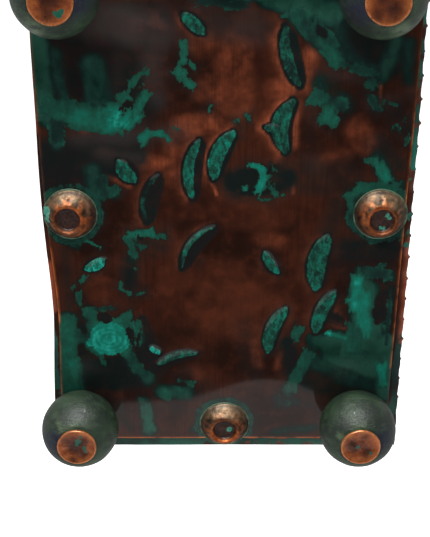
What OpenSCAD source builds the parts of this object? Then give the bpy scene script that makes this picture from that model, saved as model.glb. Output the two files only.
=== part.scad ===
// Wall mounted letter box in patinated sheet copper: a hammered front plate held by ball knobs
// and dimpled domes, and a sloping lid hinged along the back.
// Origin: middle of the four wall holes, on the wall face. X runs right, -Y out from the wall, Z up.

/* [Box] */
// Width across the side walls
box_w = 254; // [200:1:320]
// Height of the front wall
box_h = 380; // [300:1:470]
// Depth from the wall face to the front wall
box_d = 105; // [80:1:150]
// Thickness of the box and lid sheets
sheet = 1.2; // [0.8:0.1:1.6]
// Width of the folded edges that join two walls
flange = 16; // [12:1:20]
// Height of the floor's turned up edges
floor_edge = 12; // [6:1:20]

/* [Front plate] */
// Thickness of the hammered front plate
plate_t = 1.5; // [1:0.1:2.5]
// Front wall left bare beside the plate's top corners
margin_top = 0.5; // [0:0.5:6]
// Front wall left bare beside the plate's bottom corners
margin_bottom = 6.5; // [0:0.5:10]
// Front wall left bare above and below the plate
margin_ends = 7; // [2:0.5:12]
// Radius of the plate's corners
plate_corner = 4; // [1:0.5:8]
// How far the plate and its fittings sit to the right of the box's middle
front_shift = -1; // [-4:0.5:4]

/* [Knobs] */
// Diameter of a hollow ball knob
ball_d = 55; // [40:1:66]
// Wall of a ball knob
ball_wall = 1.6; // [1:0.1:2.5]
// Diameter of the ring on which a ball sits
ball_seat_d = 15; // [12:1:30]
// Diameter of the copper disc on a ball
cap_d = 28; // [24:1:34]
// Thickness of the copper disc
cap_t = 1.4; // [0.8:0.1:2]
// Distance from the box's side to a knob's middle
knob_inset_x = 27; // [22:0.5:36]
// Distance from the front wall's top or bottom edge to a knob's middle
knob_inset_z = 33; // [28:0.5:44]
// How far the knobs sit to the right of the plate's own middle
knob_shift = -4.5; // [-5:0.5:5]
// Diameter of a knob's threaded stud
stud_d = 6; // [5:1:8]

/* [Domes] */
// Diameter of a dimpled dome rivet
dome_d = 35; // [28:1:42]
// Height of a dome at its rim
dome_h = 10; // [6:0.5:14]
// Diameter of the dimple in a dome
dimple_d = 16.5; // [10:0.5:18]
// Depth of the dimple
dimple_depth = 2.8; // [1:0.1:4]
// Gap from the box's side to a dome
dome_gap_x = 3.5; // [2:0.5:12]
// Gap from the front wall's bottom edge to the bottom dome
dome_gap_bottom = 2.5; // [2:0.5:16]
// Gap from the front wall's top edge to the top dome
dome_gap_top = 6.5; // [6.5:0.5:16]
// Diameter of a dome's shank
shank_d = 5; // [4:0.5:6]

/* [Seam rivets] */
// Spacing of the pointed rivets along the right front seam
rivet_pitch = 16.5; // [12:0.5:24]
// Diameter of a rivet's pointed head
rivet_head_d = 5.6; // [4:0.2:7]
// Height of a rivet's point
rivet_head_h = 2; // [1:0.1:3]
// Diameter of a rivet's shank
rivet_d = 3; // [2:0.2:3.4]
// Bare length of seam below the lowest rivet
seam_start = 37.5; // [20:0.5:60]
// Bare length of seam above the highest rivet
seam_end = 18; // [16:1:40]
// Number of rivets down each back seam
back_rivets_per_side = 6; // [3:1:8]

/* [Lid] */
// Fall of the lid towards the front, in degrees
lid_fall = 15; // [5:1:22]
// Drop of the lid's front edge over the front wall
lip_drop = 5; // [3:0.5:5]
// Drop of the lid's side edges over the side walls
side_drop = 10; // [6:0.5:12]
// Gap between the lid's edges and what they cover
lip_gap = 0.8; // [0.5:0.1:2]
// Gap between the closed lid and the top of the walls
lid_gap = 0.4; // [0.3:0.1:1]

/* [Hinge] */
// Diameter of the hinge knuckles
knuckle_d = 6.4; // [5.6:0.2:9]
// Diameter of the hinge pin
pin_d = 3; // [2:0.2:3.4]
// Thickness of the hinge leaves
leaf_t = 1.2; // [0.8:0.1:1.4]
// Width of a hinge leaf from the pin's axis
leaf_w = 22; // [18:1:30]
// Distance from the box's side to the end of the hinge
hinge_inset = 5; // [5:1:50]
// Number of rivets in each hinge leaf
leaf_rivets = 5; // [3:1:7]

/* [Wall holes] */
// Diameter of a wall hole
hole_d = 6.5; // [4:0.5:8]
// Distance from the box's side to a wall hole
hole_inset_x = 37; // [28:1:60]
// Distance from the front wall's top or bottom level to a wall hole
hole_inset_z = 50; // [40:1:100]

/* [Hidden] */
$fn = 64;
fit = 0.1;              // radial play of fixed studs and shanks in their holes
pin_fit = 0.05;         // radial play of the hinge pin
knuckle_gap = 0.5;      // end play between two knuckles
knuckles = 9;
pin_head_h = 1;         // flattened ends of the hinge pin
tail_h = 0.8;           // flattened end of a rivet
head_h = 1.1;           // low round head of a rivet
washer_t = 1.5;
washer_d = 16;
burr_d = 12;
nut_h = 5;
nut_flats = 10;
thread_end = 2;         // stud left showing past its nut
cap_recess = 0.7;       // how deep the disc is let into its ball

bottom = -box_h / 2;
top = box_h / 2;
right = box_w / 2;
front = -box_d;
plate_front = front - plate_t;
plate_bottom = bottom + margin_ends;
plate_top = top - margin_ends;
plate_half_top = right - margin_top;
plate_half_bottom = right - margin_bottom;

ball_r = ball_d / 2;
ball_seat = sqrt(ball_r * ball_r - ball_seat_d * ball_seat_d / 4);
ball_flat = sqrt(ball_r * ball_r - cap_d * cap_d / 4);
ball_y = plate_front - ball_seat;
cap_back = ball_flat - cap_recess;
knob_middle = front_shift + knob_shift;
knob_x = [knob_middle - right + knob_inset_x, knob_middle + right - knob_inset_x];
knob_z = [bottom + knob_inset_z, top - knob_inset_z];
inner_front = front + sheet;

dome_r = dome_d / 2;
dome_x = right - dome_gap_x - dome_r;
side_dome_z = 0;
dome_low = bottom + dome_gap_bottom + dome_r;
dome_high = top - dome_gap_top - dome_r;
dome_places = [[front_shift - dome_x, side_dome_z], [front_shift + dome_x, side_dome_z],
    [front_shift, dome_low], [front_shift, dome_high]];

knuckle_r = knuckle_d / 2;
hinge_y = -sheet - knuckle_r;
lid_under = leaf_t - knuckle_r;              // the lid's underside, square to the lid from the pin's axis
wall_line = lid_under - lid_gap;             // the walls' top edge, measured the same way
hinge_z = top + (hinge_y - front) * tan(lid_fall) - wall_line / cos(lid_fall);
back_top = hinge_z - knuckle_r - lid_gap;
hinge_half = right - hinge_inset;
knuckle_l = 2 * hinge_half / knuckles;
lip_inner = plate_front - lip_gap;
lip_outer = lip_inner - sheet;
lip_bottom = top - lip_drop;
lid_half = right + lip_gap + sheet;
lid_rear = hinge_y - knuckle_r - 2 * lid_gap;

rivet_y = front + flange / 2;
rivet_count = floor((box_h - seam_start - seam_end) / rivet_pitch) + 1;
side_outer = [-right, right - sheet];        // the left wall is flush, the right one is inside the seam
hole_x = right - hole_inset_x;
hole_z = top - hole_inset_z;

// Height of the plane that lies w above the pin's axis, square to the lid, at depth y
function lid_plane(y, w) = hinge_z - (hinge_y - y) * tan(lid_fall) + w / cos(lid_fall);

// Place i of n, evenly spaced from a to b
function spaced(i, n, a, b) = a + (b - a) * i / (n - 1);

// A sheet drawn in the YZ plane, from x for a length of w
module along_x(x, w) {
    translate([x, 0, 0]) rotate([90, 0, 90]) linear_extrude(w) children();
}

// Turns children from +Z up to pointing out of the wall, at x, y, z
module facing_out(x, y, z) {
    translate([x, y, z]) rotate([90, 0, 0]) children();
}

// A hole or shank along Y, from y towards the front for a length of l
module bar_y(d, x, y, z, l) {
    facing_out(x, y, z) cylinder(d = d, h = l);
}

// The lid's own frame: pin at the origin, -Y down the slope
module lid_frame() {
    translate([0, hinge_y, hinge_z]) rotate([lid_fall, 0, 0]) children();
}

module at_knobs() {
    for (x = knob_x, z = knob_z) translate([x, 0, z]) children();
}

module at_domes() {
    for (p = dome_places) translate([p[0], 0, p[1]]) children();
}

module at_seam_rivets() {
    for (i = [0 : rivet_count - 1])
        translate([0, rivet_y, bottom + seam_start + i * rivet_pitch]) children();
}

module at_back_rivets() {
    x = right - sheet - flange / 2;
    for (s = [-1, 1], i = [0 : back_rivets_per_side - 1])
        translate([s * x, 0, spaced(i, back_rivets_per_side, bottom + flange, top - flange)]) children();
}

module at_leaf_rivets() {
    for (i = [0 : leaf_rivets - 1])
        translate([spaced(i, leaf_rivets, -hinge_half + flange, hinge_half - flange), 0, 0]) children();
}

// Holes through the front plate and the front wall for the knobs and domes
module front_holes() {
    at_knobs() bar_y(stud_d + 2 * fit, 0, inner_front + sheet, 0, plate_t + 3 * sheet);
    at_domes() bar_y(shank_d + 2 * fit, 0, inner_front + sheet, 0, plate_t + 3 * sheet);
}

module back_plate() {
    color("#6b4030") difference() {
        translate([-right, -sheet, bottom]) cube([box_w, sheet, back_top - bottom]);
        for (x = [-hole_x, hole_x], z = [-hole_z, hole_z]) bar_y(hole_d, x, sheet, z, 3 * sheet);
        at_back_rivets() bar_y(rivet_d + 2 * fit, 0, sheet, 0, 3 * sheet);
        at_leaf_rivets() bar_y(rivet_d + 2 * fit, 0, sheet, hinge_z - 0.6 * leaf_w, 3 * sheet);
    }
}

// A side wall with its rear flange: x is its outer face, s is -1 on the left and 1 on the right
module side_wall(x, s) {
    difference() {
        union() {
            along_x(s < 0 ? x : x - sheet, sheet)
                polygon([[-sheet, bottom], [-sheet, lid_plane(-sheet, wall_line)],
                    [inner_front, lid_plane(inner_front, wall_line)], [inner_front, bottom]]);
            translate([s < 0 ? x : x - flange, -2 * sheet, bottom]) cube([flange, sheet, box_h]);
        }
        at_back_rivets() bar_y(rivet_d + 2 * fit, 0, sheet, 0, 4 * sheet);
    }
}

module left_side() {
    color("#5a3324") side_wall(side_outer[0], -1);
}

module right_side() {
    color("#5a3324") difference() {
        side_wall(side_outer[1], 1);
        at_seam_rivets() translate([right - 3 * sheet, 0, 0]) rotate([0, 90, 0])
            cylinder(d = rivet_d + 2 * fit, h = 4 * sheet);
    }
}

module floor_panel() {
    x0 = side_outer[0] + sheet;
    x1 = side_outer[1] - sheet;
    y1 = -2 * sheet;
    color("#4c3a2c") union() {
        translate([x0, inner_front, bottom]) cube([x1 - x0, y1 - inner_front, sheet]);
        for (x = [x0, x1 - sheet])
            translate([x, inner_front, bottom]) cube([sheet, y1 - inner_front, floor_edge]);
    }
}

// The front wall, with the flange that laps over the right side wall
module front_wall() {
    color("#2f5a4c") difference() {
        union() {
            translate([-right, front, bottom]) cube([box_w, sheet, box_h]);
            translate([right - sheet, front, bottom]) cube([sheet, flange, box_h]);
        }
        front_holes();
        at_seam_rivets() translate([right - 2 * sheet, 0, 0]) rotate([0, 90, 0])
            cylinder(d = rivet_d + 2 * fit, h = 4 * sheet);
    }
}

// Pointed rivets: head outside, flattened tail inside
module seam_rivets() {
    grip = 2 * sheet;
    color("#8a4a2a") at_seam_rivets() translate([right, 0, 0]) rotate([0, 90, 0]) rotate_extrude()
        polygon([[0, rivet_head_h], [rivet_head_d * 0.16, rivet_head_h * 0.78],
            [rivet_head_d / 2, rivet_head_h * 0.12], [rivet_head_d / 2, 0], [rivet_d / 2, 0],
            [rivet_d / 2, -grip], [rivet_head_d / 2, -grip],
            [rivet_head_d / 2, -grip - tail_h], [0, -grip - tail_h]]);
}

// A low round headed rivet that points to -Z, with a grip of g and a tail of t
module low_rivet(g, t) {
    rotate_extrude() union() {
        intersection() {
            translate([0, head_h - rivet_head_d]) circle(r = rivet_head_d);
            square([rivet_head_d / 2, head_h]);
        }
        translate([0, -g]) square([rivet_d / 2, g + head_h / 2]);
        translate([0, -g - t]) square([t > 0 ? rivet_head_d / 2 : rivet_d / 2, t > 0 ? t : sheet / 2]);
    }
}

module back_rivets() {
    color("#8a4a2a") at_back_rivets() facing_out(0, -2 * sheet, 0) low_rivet(2 * sheet, 0);
}

// The hammered plate: slightly narrower at its foot, with round corners
module front_plate() {
    half_w = [plate_half_bottom, plate_half_top];
    ends = [plate_bottom + plate_corner, plate_top - plate_corner];
    color("#4a2419") difference() {
        translate([front_shift, front, 0]) rotate([90, 0, 0]) linear_extrude(plate_t) union() {
            polygon([[-half_w[0], ends[0]], [half_w[0], ends[0]],
                [half_w[1], ends[1]], [-half_w[1], ends[1]]]);
            for (i = [0, 1]) {
                translate([plate_corner - half_w[i], i == 0 ? plate_bottom : ends[1] - plate_corner / 2])
                    square([2 * (half_w[i] - plate_corner), plate_corner * 1.5]);
                for (s = [-1, 1]) translate([s * (half_w[i] - plate_corner), ends[i]])
                    circle(r = plate_corner);
            }
        }
        front_holes();
    }
}

// A hollow ball, open under its disc and bored for its stud at the seat
module knob(ix, iz) {
    color("#33473f") facing_out(knob_x[ix], ball_y, knob_z[iz]) rotate_extrude() difference() {
        intersection() {
            circle(r = ball_r);
            translate([0, -ball_seat]) square([ball_r, ball_seat + cap_back]);
        }
        circle(r = ball_r - ball_wall);
        translate([0, -ball_r]) square([stud_d / 2 + fit, ball_r]);
    }
}

module knob_bottom_left() { knob(0, 0); }
module knob_bottom_right() { knob(1, 0); }
module knob_top_left() { knob(0, 1); }
module knob_top_right() { knob(1, 1); }

// The copper disc that closes a ball's front
module cap(ix, iz) {
    color("#b06030") facing_out(knob_x[ix], ball_y - cap_back, knob_z[iz])
        cylinder(d = cap_d - 2 * fit, h = cap_t);
}

module cap_bottom_left() { cap(0, 0); }
module cap_bottom_right() { cap(1, 0); }
module cap_top_left() { cap(0, 1); }
module cap_top_right() { cap(1, 1); }

// Studs run from the back of each disc through the ball, the plate and the wall to a nut
module knob_studs() {
    back_end = inner_front + washer_t + nut_h + thread_end;
    color("#9a6a48") at_knobs() bar_y(stud_d, 0, back_end, 0, back_end - ball_y + cap_back);
}

module knob_washers() {
    color("#b0703c") at_knobs() difference() {
        bar_y(washer_d, 0, inner_front + washer_t, 0, washer_t);
        bar_y(stud_d + 2 * fit, 0, inner_front + 2 * washer_t, 0, 3 * washer_t);
    }
}

module knob_nuts() {
    color("#c08a50") at_knobs() difference() {
        facing_out(0, inner_front + washer_t + nut_h, 0)
            cylinder(r = nut_flats / sqrt(3), h = nut_h, $fn = 6);
        bar_y(stud_d + 2 * fit, 0, inner_front + washer_t + nut_h + 1, 0, nut_h + 2);
    }
}

// A domed rivet head with a dimple, on a shank that ends inside the front wall
module dome(i) {
    ball = (dome_r * dome_r + dome_h * dome_h) / (2 * dome_h);
    dimple = (dimple_d * dimple_d / 4 + dimple_depth * dimple_depth) / (2 * dimple_depth);
    crest = sqrt(ball * ball - dimple_d * dimple_d / 4) - ball + dome_h;
    reach = plate_t + sheet + washer_t + tail_h;
    place = dome_places[i];
    color("#a05a34") facing_out(place[0], plate_front, place[1]) rotate_extrude() union() {
        difference() {
            intersection() {
                translate([0, dome_h - ball]) circle(r = ball);
                square([dome_r, dome_h]);
            }
            translate([0, crest + dimple - dimple_depth]) circle(r = dimple);
        }
        translate([0, -reach]) square([shank_d / 2, reach + dome_h / 4]);
    }
}

module dome_left() { dome(0); }
module dome_right() { dome(1); }
module dome_bottom() { dome(2); }
module dome_top() { dome(3); }

module dome_burrs() {
    color("#b0703c") at_domes() difference() {
        bar_y(burr_d, 0, inner_front + washer_t, 0, washer_t);
        bar_y(shank_d + 2 * fit, 0, inner_front + 2 * washer_t, 0, 3 * washer_t);
    }
}

// Knuckle i along the pin, in a frame with the pin's axis on X
module knuckle(i) {
    translate([-hinge_half + i * knuckle_l + knuckle_gap / 2, 0, 0]) rotate([0, 90, 0])
        cylinder(r = knuckle_r, h = knuckle_l - knuckle_gap);
}

// Bore for the pin through every knuckle
module pin_bore() {
    translate([-hinge_half - pin_head_h, 0, 0]) rotate([0, 90, 0])
        cylinder(d = pin_d + 2 * pin_fit, h = 2 * (hinge_half + pin_head_h));
}

// The fixed leaf: riveted inside the back plate, with the odd knuckles
module hinge_leaf_box() {
    color("#7a4a30") difference() {
        translate([0, hinge_y, hinge_z]) difference() {
            union() {
                translate([-hinge_half, knuckle_r - leaf_t, -leaf_w])
                    cube([2 * hinge_half, leaf_t, leaf_w - knuckle_r - lid_gap]);
                for (i = [0 : 2 : knuckles - 1]) {
                    knuckle(i);
                    translate([-hinge_half + i * knuckle_l + knuckle_gap / 2, knuckle_r - leaf_t, -leaf_w])
                        cube([knuckle_l - knuckle_gap, leaf_t, leaf_w]);
                }
            }
            pin_bore();
        }
        at_leaf_rivets() bar_y(rivet_d + 2 * fit, 0, sheet, hinge_z - 0.6 * leaf_w, 4 * sheet + leaf_t);
    }
}

// The moving leaf: riveted under the lid, with the even knuckles
module hinge_leaf_lid() {
    color("#7a4a30") lid_frame() difference() {
        union() {
            translate([-hinge_half, -leaf_w, -knuckle_r])
                cube([2 * hinge_half, leaf_w - knuckle_r - lid_gap, leaf_t]);
            for (i = [1 : 2 : knuckles - 1]) {
                knuckle(i);
                translate([-hinge_half + i * knuckle_l + knuckle_gap / 2, -leaf_w, -knuckle_r])
                    cube([knuckle_l - knuckle_gap, leaf_w, leaf_t]);
            }
        }
        pin_bore();
        at_leaf_rivets() translate([0, -0.6 * leaf_w, -knuckle_r - 1])
            cylinder(d = rivet_d + 2 * fit, h = leaf_t + 2);
    }
}

module hinge_pin() {
    head_r = knuckle_r * 0.8;
    ends = [pin_head_h - knuckle_gap / 4, 2 * hinge_half + pin_head_h + knuckle_gap / 4];
    start = -hinge_half - pin_head_h;
    color("#c08a50") translate([start, hinge_y, hinge_z]) rotate([0, 90, 0]) rotate_extrude()
        polygon([[0, 0], [head_r, 0], [head_r, ends[0]], [pin_d / 2, ends[0]],
            [pin_d / 2, ends[1]], [head_r, ends[1]],
            [head_r, 2 * (hinge_half + pin_head_h)], [0, 2 * (hinge_half + pin_head_h)]]);
}

module hinge_rivets_box() {
    color("#8a4a2a") at_leaf_rivets() facing_out(0, -sheet - leaf_t, hinge_z - 0.6 * leaf_w)
        low_rivet(sheet + leaf_t, 0);
}

module hinge_rivets_lid() {
    color("#8a4a2a") lid_frame() at_leaf_rivets() translate([0, -0.6 * leaf_w, lid_under + sheet])
        low_rivet(sheet + leaf_t, tail_h);
}

// The lid: a sloping sheet with its front and side edges turned down
module lid_panel() {
    lid_over = lid_under + sheet;
    color("#5a3324") difference() {
        union() {
            along_x(-lid_half, 2 * lid_half)
                polygon([[lid_rear, lid_plane(lid_rear, lid_under)],
                    [lip_inner, lid_plane(lip_inner, lid_under)], [lip_inner, lip_bottom],
                    [lip_outer, lip_bottom], [lip_outer, lid_plane(lip_outer, lid_over)],
                    [lid_rear, lid_plane(lid_rear, lid_over)]]);
            for (x = [-lid_half, lid_half - sheet]) along_x(x, sheet)
                polygon([[lid_rear, lid_plane(lid_rear, lid_over)],
                    [lid_rear, lid_plane(lid_rear, lid_under - side_drop)],
                    [lip_outer, lid_plane(lip_outer, lid_under - side_drop)],
                    [lip_outer, lid_plane(lip_outer, lid_over)]]);
        }
        lid_frame() at_leaf_rivets() translate([0, -0.6 * leaf_w, lid_under - 1])
            cylinder(d = rivet_d + 2 * fit, h = sheet + 2);
    }
}

back_plate();
left_side();
right_side();
floor_panel();
front_wall();
seam_rivets();
back_rivets();
front_plate();
knob_bottom_left();
knob_bottom_right();
knob_top_left();
knob_top_right();
cap_bottom_left();
cap_bottom_right();
cap_top_left();
cap_top_right();
knob_studs();
knob_washers();
knob_nuts();
dome_left();
dome_right();
dome_bottom();
dome_top();
dome_burrs();
hinge_leaf_box();
hinge_leaf_lid();
hinge_pin();
hinge_rivets_box();
hinge_rivets_lid();
lid_panel();
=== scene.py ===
import math
import random

import bmesh
import bpy
import numpy as np
from mathutils import Matrix, Vector, noise


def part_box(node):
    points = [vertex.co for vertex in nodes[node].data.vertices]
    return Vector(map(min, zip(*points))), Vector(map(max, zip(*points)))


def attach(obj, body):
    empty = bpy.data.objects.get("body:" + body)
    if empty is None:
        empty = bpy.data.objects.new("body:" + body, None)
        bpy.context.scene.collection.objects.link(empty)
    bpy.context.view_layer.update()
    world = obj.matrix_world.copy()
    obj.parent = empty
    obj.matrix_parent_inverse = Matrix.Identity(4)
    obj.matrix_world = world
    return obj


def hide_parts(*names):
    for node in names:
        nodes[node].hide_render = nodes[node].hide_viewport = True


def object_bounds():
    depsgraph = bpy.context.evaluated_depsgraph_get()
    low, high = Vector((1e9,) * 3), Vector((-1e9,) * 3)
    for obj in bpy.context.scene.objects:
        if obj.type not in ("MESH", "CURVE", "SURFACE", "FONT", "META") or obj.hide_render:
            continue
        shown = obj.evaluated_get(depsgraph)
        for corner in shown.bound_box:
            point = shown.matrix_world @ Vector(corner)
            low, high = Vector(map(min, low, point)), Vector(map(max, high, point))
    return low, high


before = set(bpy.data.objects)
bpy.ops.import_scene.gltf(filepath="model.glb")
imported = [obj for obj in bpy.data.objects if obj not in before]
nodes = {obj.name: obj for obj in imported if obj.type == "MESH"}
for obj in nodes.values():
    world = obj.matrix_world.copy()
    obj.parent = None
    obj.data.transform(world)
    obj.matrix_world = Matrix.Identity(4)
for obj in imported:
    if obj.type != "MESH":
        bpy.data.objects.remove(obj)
cadBox = [list(corner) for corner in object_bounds()]
mm = 0.001
print("frame loaded,", len(nodes), "CAD nodes")


def rgb(red, green, blue):
    # a screen colour, as the shader wants it
    channels = [c / 255 for c in (red, green, blue)]
    return tuple(c / 12.92 if c < 0.04 else ((c + 0.055) / 1.055) ** 2.4 for c in channels) + (1.0,)


def boxOf(name):
    low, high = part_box(name)
    return low / mm, high / mm


# camera, floor and light

studio = {
    "cameraPlace": (-0.0081, -0.8624, 0.3246),
    "lens": 80.45,
    "lookDown": 25.84,
    "floorDrop": 0.42,  # the box hangs on a wall, so the floor is well below it
    "floorColour": rgb(250, 250, 250),
    "floorGlow": 0.8,
    "softboxPlace": (-0.35, -0.75, 1.5),
    "softboxSize": (1.1, 0.8),
    "softboxPower": 34.0,
    "lampPlace": (0.16, -0.42, 1.25),
    "lampSize": 0.045,
    "lampPower": 5.0,
    "lampAim": (0, -0.1, 0),
    "wallLevel": 0.36,
    "tableLevel": 0.68,
    "shadeLevel": 0.015,
    "shadeFade": (-0.35, -0.7),        # directions, from 1 to -1, over which one level turns into the next
    "tableFade": (-0.5322, -0.5306),
    "windowFade": (0.55, 0.2),
}

scene = bpy.context.scene
scene.view_settings.view_transform = "Standard"

cameraData = bpy.data.cameras.new("camera")
cameraData.sensor_width = 36
cameraData.lens = studio["lens"]
camera = bpy.data.objects.new("camera", cameraData)
camera.location = studio["cameraPlace"]
camera.rotation_euler = (math.radians(90 - studio["lookDown"]), 0, 0)
scene.collection.objects.link(camera)
scene.camera = camera


def addNode(tree, kind, inputs=None, **settings):
    node = tree.nodes.new(kind)
    for key, value in settings.items():
        setattr(node, key, value)
    for key, value in (inputs or {}).items():
        if isinstance(value, bpy.types.NodeSocket):
            tree.links.new(value, node.inputs[key])
        else:
            node.inputs[key].default_value = value
    return node


def fadeOf(tree, value, start, end, low=0.0, high=1.0):
    return addNode(tree, "ShaderNodeMapRange", {0: value, 1: start, 2: end, 3: low, 4: high},
                   interpolation_type="SMOOTHSTEP").outputs[0]


def blendOf(tree, share, first, second):
    return addNode(tree, "ShaderNodeMix", {0: share, 6: first, 7: second}, data_type="RGBA").outputs[2]


def mathOf(tree, kind, a, b, clamp=False):
    return addNode(tree, "ShaderNodeMath", {0: a, 1: b}, operation=kind, use_clamp=clamp).outputs[0]


def sumOf(tree, a, b):
    return mathOf(tree, "ADD", a, b)


def timesOf(tree, a, b, clamp=False):
    return mathOf(tree, "MULTIPLY", a, b, clamp)


def mostOf(tree, a, b):
    return mathOf(tree, "MAXIMUM", a, b)


def restOf(tree, value):
    return mathOf(tree, "SUBTRACT", 1.0, value)


def swingOf(tree, value, strength):
    # noise round 0.5 made to swing round 0
    return timesOf(tree, sumOf(tree, value, -0.5), strength)


def makeRoom():
    world = bpy.data.worlds.new("room")
    world.use_nodes = True
    tree = world.node_tree
    tree.nodes.clear()
    direction = addNode(tree, "ShaderNodeTexCoord").outputs["Generated"]
    split = addNode(tree, "ShaderNodeSeparateXYZ", {0: direction})

    # the side of the room that the front faces is in shade, above the table's edge
    ahead = fadeOf(tree, split.outputs[1], *studio["shadeFade"])
    aboveTable = fadeOf(tree, split.outputs[2], *studio["tableFade"])
    belowWindow = fadeOf(tree, split.outputs[2], *studio["windowFade"])
    wall, table, shade = [(level, level, level, 1) for level in
                          (studio["wallLevel"], studio["tableLevel"], studio["shadeLevel"])]
    front = blendOf(tree, aboveTable, table, shade)
    room = blendOf(tree, timesOf(tree, ahead, belowWindow), wall, front)
    # the backdrop itself is white paper, from every side
    seen = addNode(tree, "ShaderNodeLightPath").outputs["Is Camera Ray"]
    backdrop = blendOf(tree, seen, room, (1, 1, 1, 1))
    back = addNode(tree, "ShaderNodeBackground", {0: backdrop})
    out = addNode(tree, "ShaderNodeOutputWorld")
    tree.links.new(back.outputs[0], out.inputs[0])
    scene.world = world


def makeFloor():
    bm = bmesh.new()
    bmesh.ops.create_grid(bm, x_segments=1, y_segments=1, size=40)
    bmesh.ops.translate(bm, verts=bm.verts, vec=(0, 0, cadBox[0][2] - studio["floorDrop"]))
    mesh = bpy.data.meshes.new("floor")
    bm.to_mesh(mesh)
    floor = bpy.data.objects.new("floor", mesh)
    scene.collection.objects.link(floor)
    floor.visible_glossy = False
    mat = bpy.data.materials.new("paleFloor")
    mat.use_nodes = True
    shader = mat.node_tree.nodes["Principled BSDF"]
    shader.inputs["Base Color"].default_value = studio["floorColour"]
    shader.inputs["Roughness"].default_value = 0.9
    shader.inputs["Emission Color"].default_value = (1, 1, 1, 1)
    shader.inputs["Emission Strength"].default_value = studio["floorGlow"]
    mesh.materials.append(mat)


def addLamp(name, place, size, power):
    data = bpy.data.lights.new(name, "AREA")
    data.shape = "RECTANGLE"
    data.size, data.size_y = size
    data.energy = power
    lamp = bpy.data.objects.new(name, data)
    lamp.location = place
    lamp.rotation_euler = (Vector(studio["lampAim"]) - Vector(place)).to_track_quat("-Z", "Y").to_euler()
    scene.collection.objects.link(lamp)


makeRoom()
makeFloor()
addLamp("softbox", studio["softboxPlace"], studio["softboxSize"], studio["softboxPower"])
addLamp("spotLamp", studio["lampPlace"], [studio["lampSize"]] * 2, studio["lampPower"])
print("camera, floor and lights ready")


# finishes

def startFinish(name):
    mat = bpy.data.materials.new(name)
    mat.use_nodes = True
    tree = mat.node_tree
    tree.nodes.clear()
    return mat, tree


def objectPlace(tree):
    return addNode(tree, "ShaderNodeTexCoord").outputs["Object"]


def noiseOf(tree, place, scale, detail=4.0, rough=0.55, stretch=(1, 1, 1), shift=(0, 0, 0)):
    moved = addNode(tree, "ShaderNodeMapping", {"Vector": place, "Scale": stretch, "Location": shift})
    return addNode(tree, "ShaderNodeTexNoise", {"Vector": moved.outputs[0], "Scale": scale, "Detail": detail,
                                                "Roughness": rough}).outputs["Fac"]


def blendValue(tree, share, first, second):
    return addNode(tree, "ShaderNodeMix", {0: share, 2: first, 3: second}, data_type="FLOAT").outputs[0]


def rampOf(tree, value, stops):
    node = addNode(tree, "ShaderNodeValToRGB", {0: value})
    ramp = node.color_ramp
    while len(ramp.elements) < len(stops):
        ramp.elements.new(0.5)
    for element, (place, colour) in zip(ramp.elements, stops):
        element.position = place
        element.color = colour
    return node.outputs[0]


def markOf(tree, name):
    return addNode(tree, "ShaderNodeAttribute", attribute_name=name).outputs["Fac"]


def bumpOf(tree, height, strength, distance, normal=None):
    inputs = {"Strength": strength, "Distance": distance, "Height": height}
    if normal:
        inputs["Normal"] = normal
    return addNode(tree, "ShaderNodeBump", inputs).outputs[0]


def endFinish(mat, tree, linked, fixed):
    shader = addNode(tree, "ShaderNodeBsdfPrincipled", {**linked, **fixed})
    out = addNode(tree, "ShaderNodeOutputMaterial")
    tree.links.new(shader.outputs[0], out.inputs[0])
    return mat


copperTones = {
    "liver": rgb(80, 40, 26),
    "liverDeep": rgb(44, 23, 16),
    "liverRed": rgb(98, 44, 26),
    "sootAndShade": rgb(19, 19, 19),
    "sootGreen": rgb(12, 22, 20),
    "smokeAndSheen": rgb(62, 50, 48),
    "rubbedAndHighlight": rgb(204, 106, 70),
    "flame": rgb(232, 124, 62),
    "tealDeep": rgb(12, 38, 33),
    "teal": rgb(15, 70, 55),
    "tealBright": rgb(2, 100, 84),
    "tealPale": rgb(26, 140, 124),
    "tealDusty": rgb(28, 68, 56),
}


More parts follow.
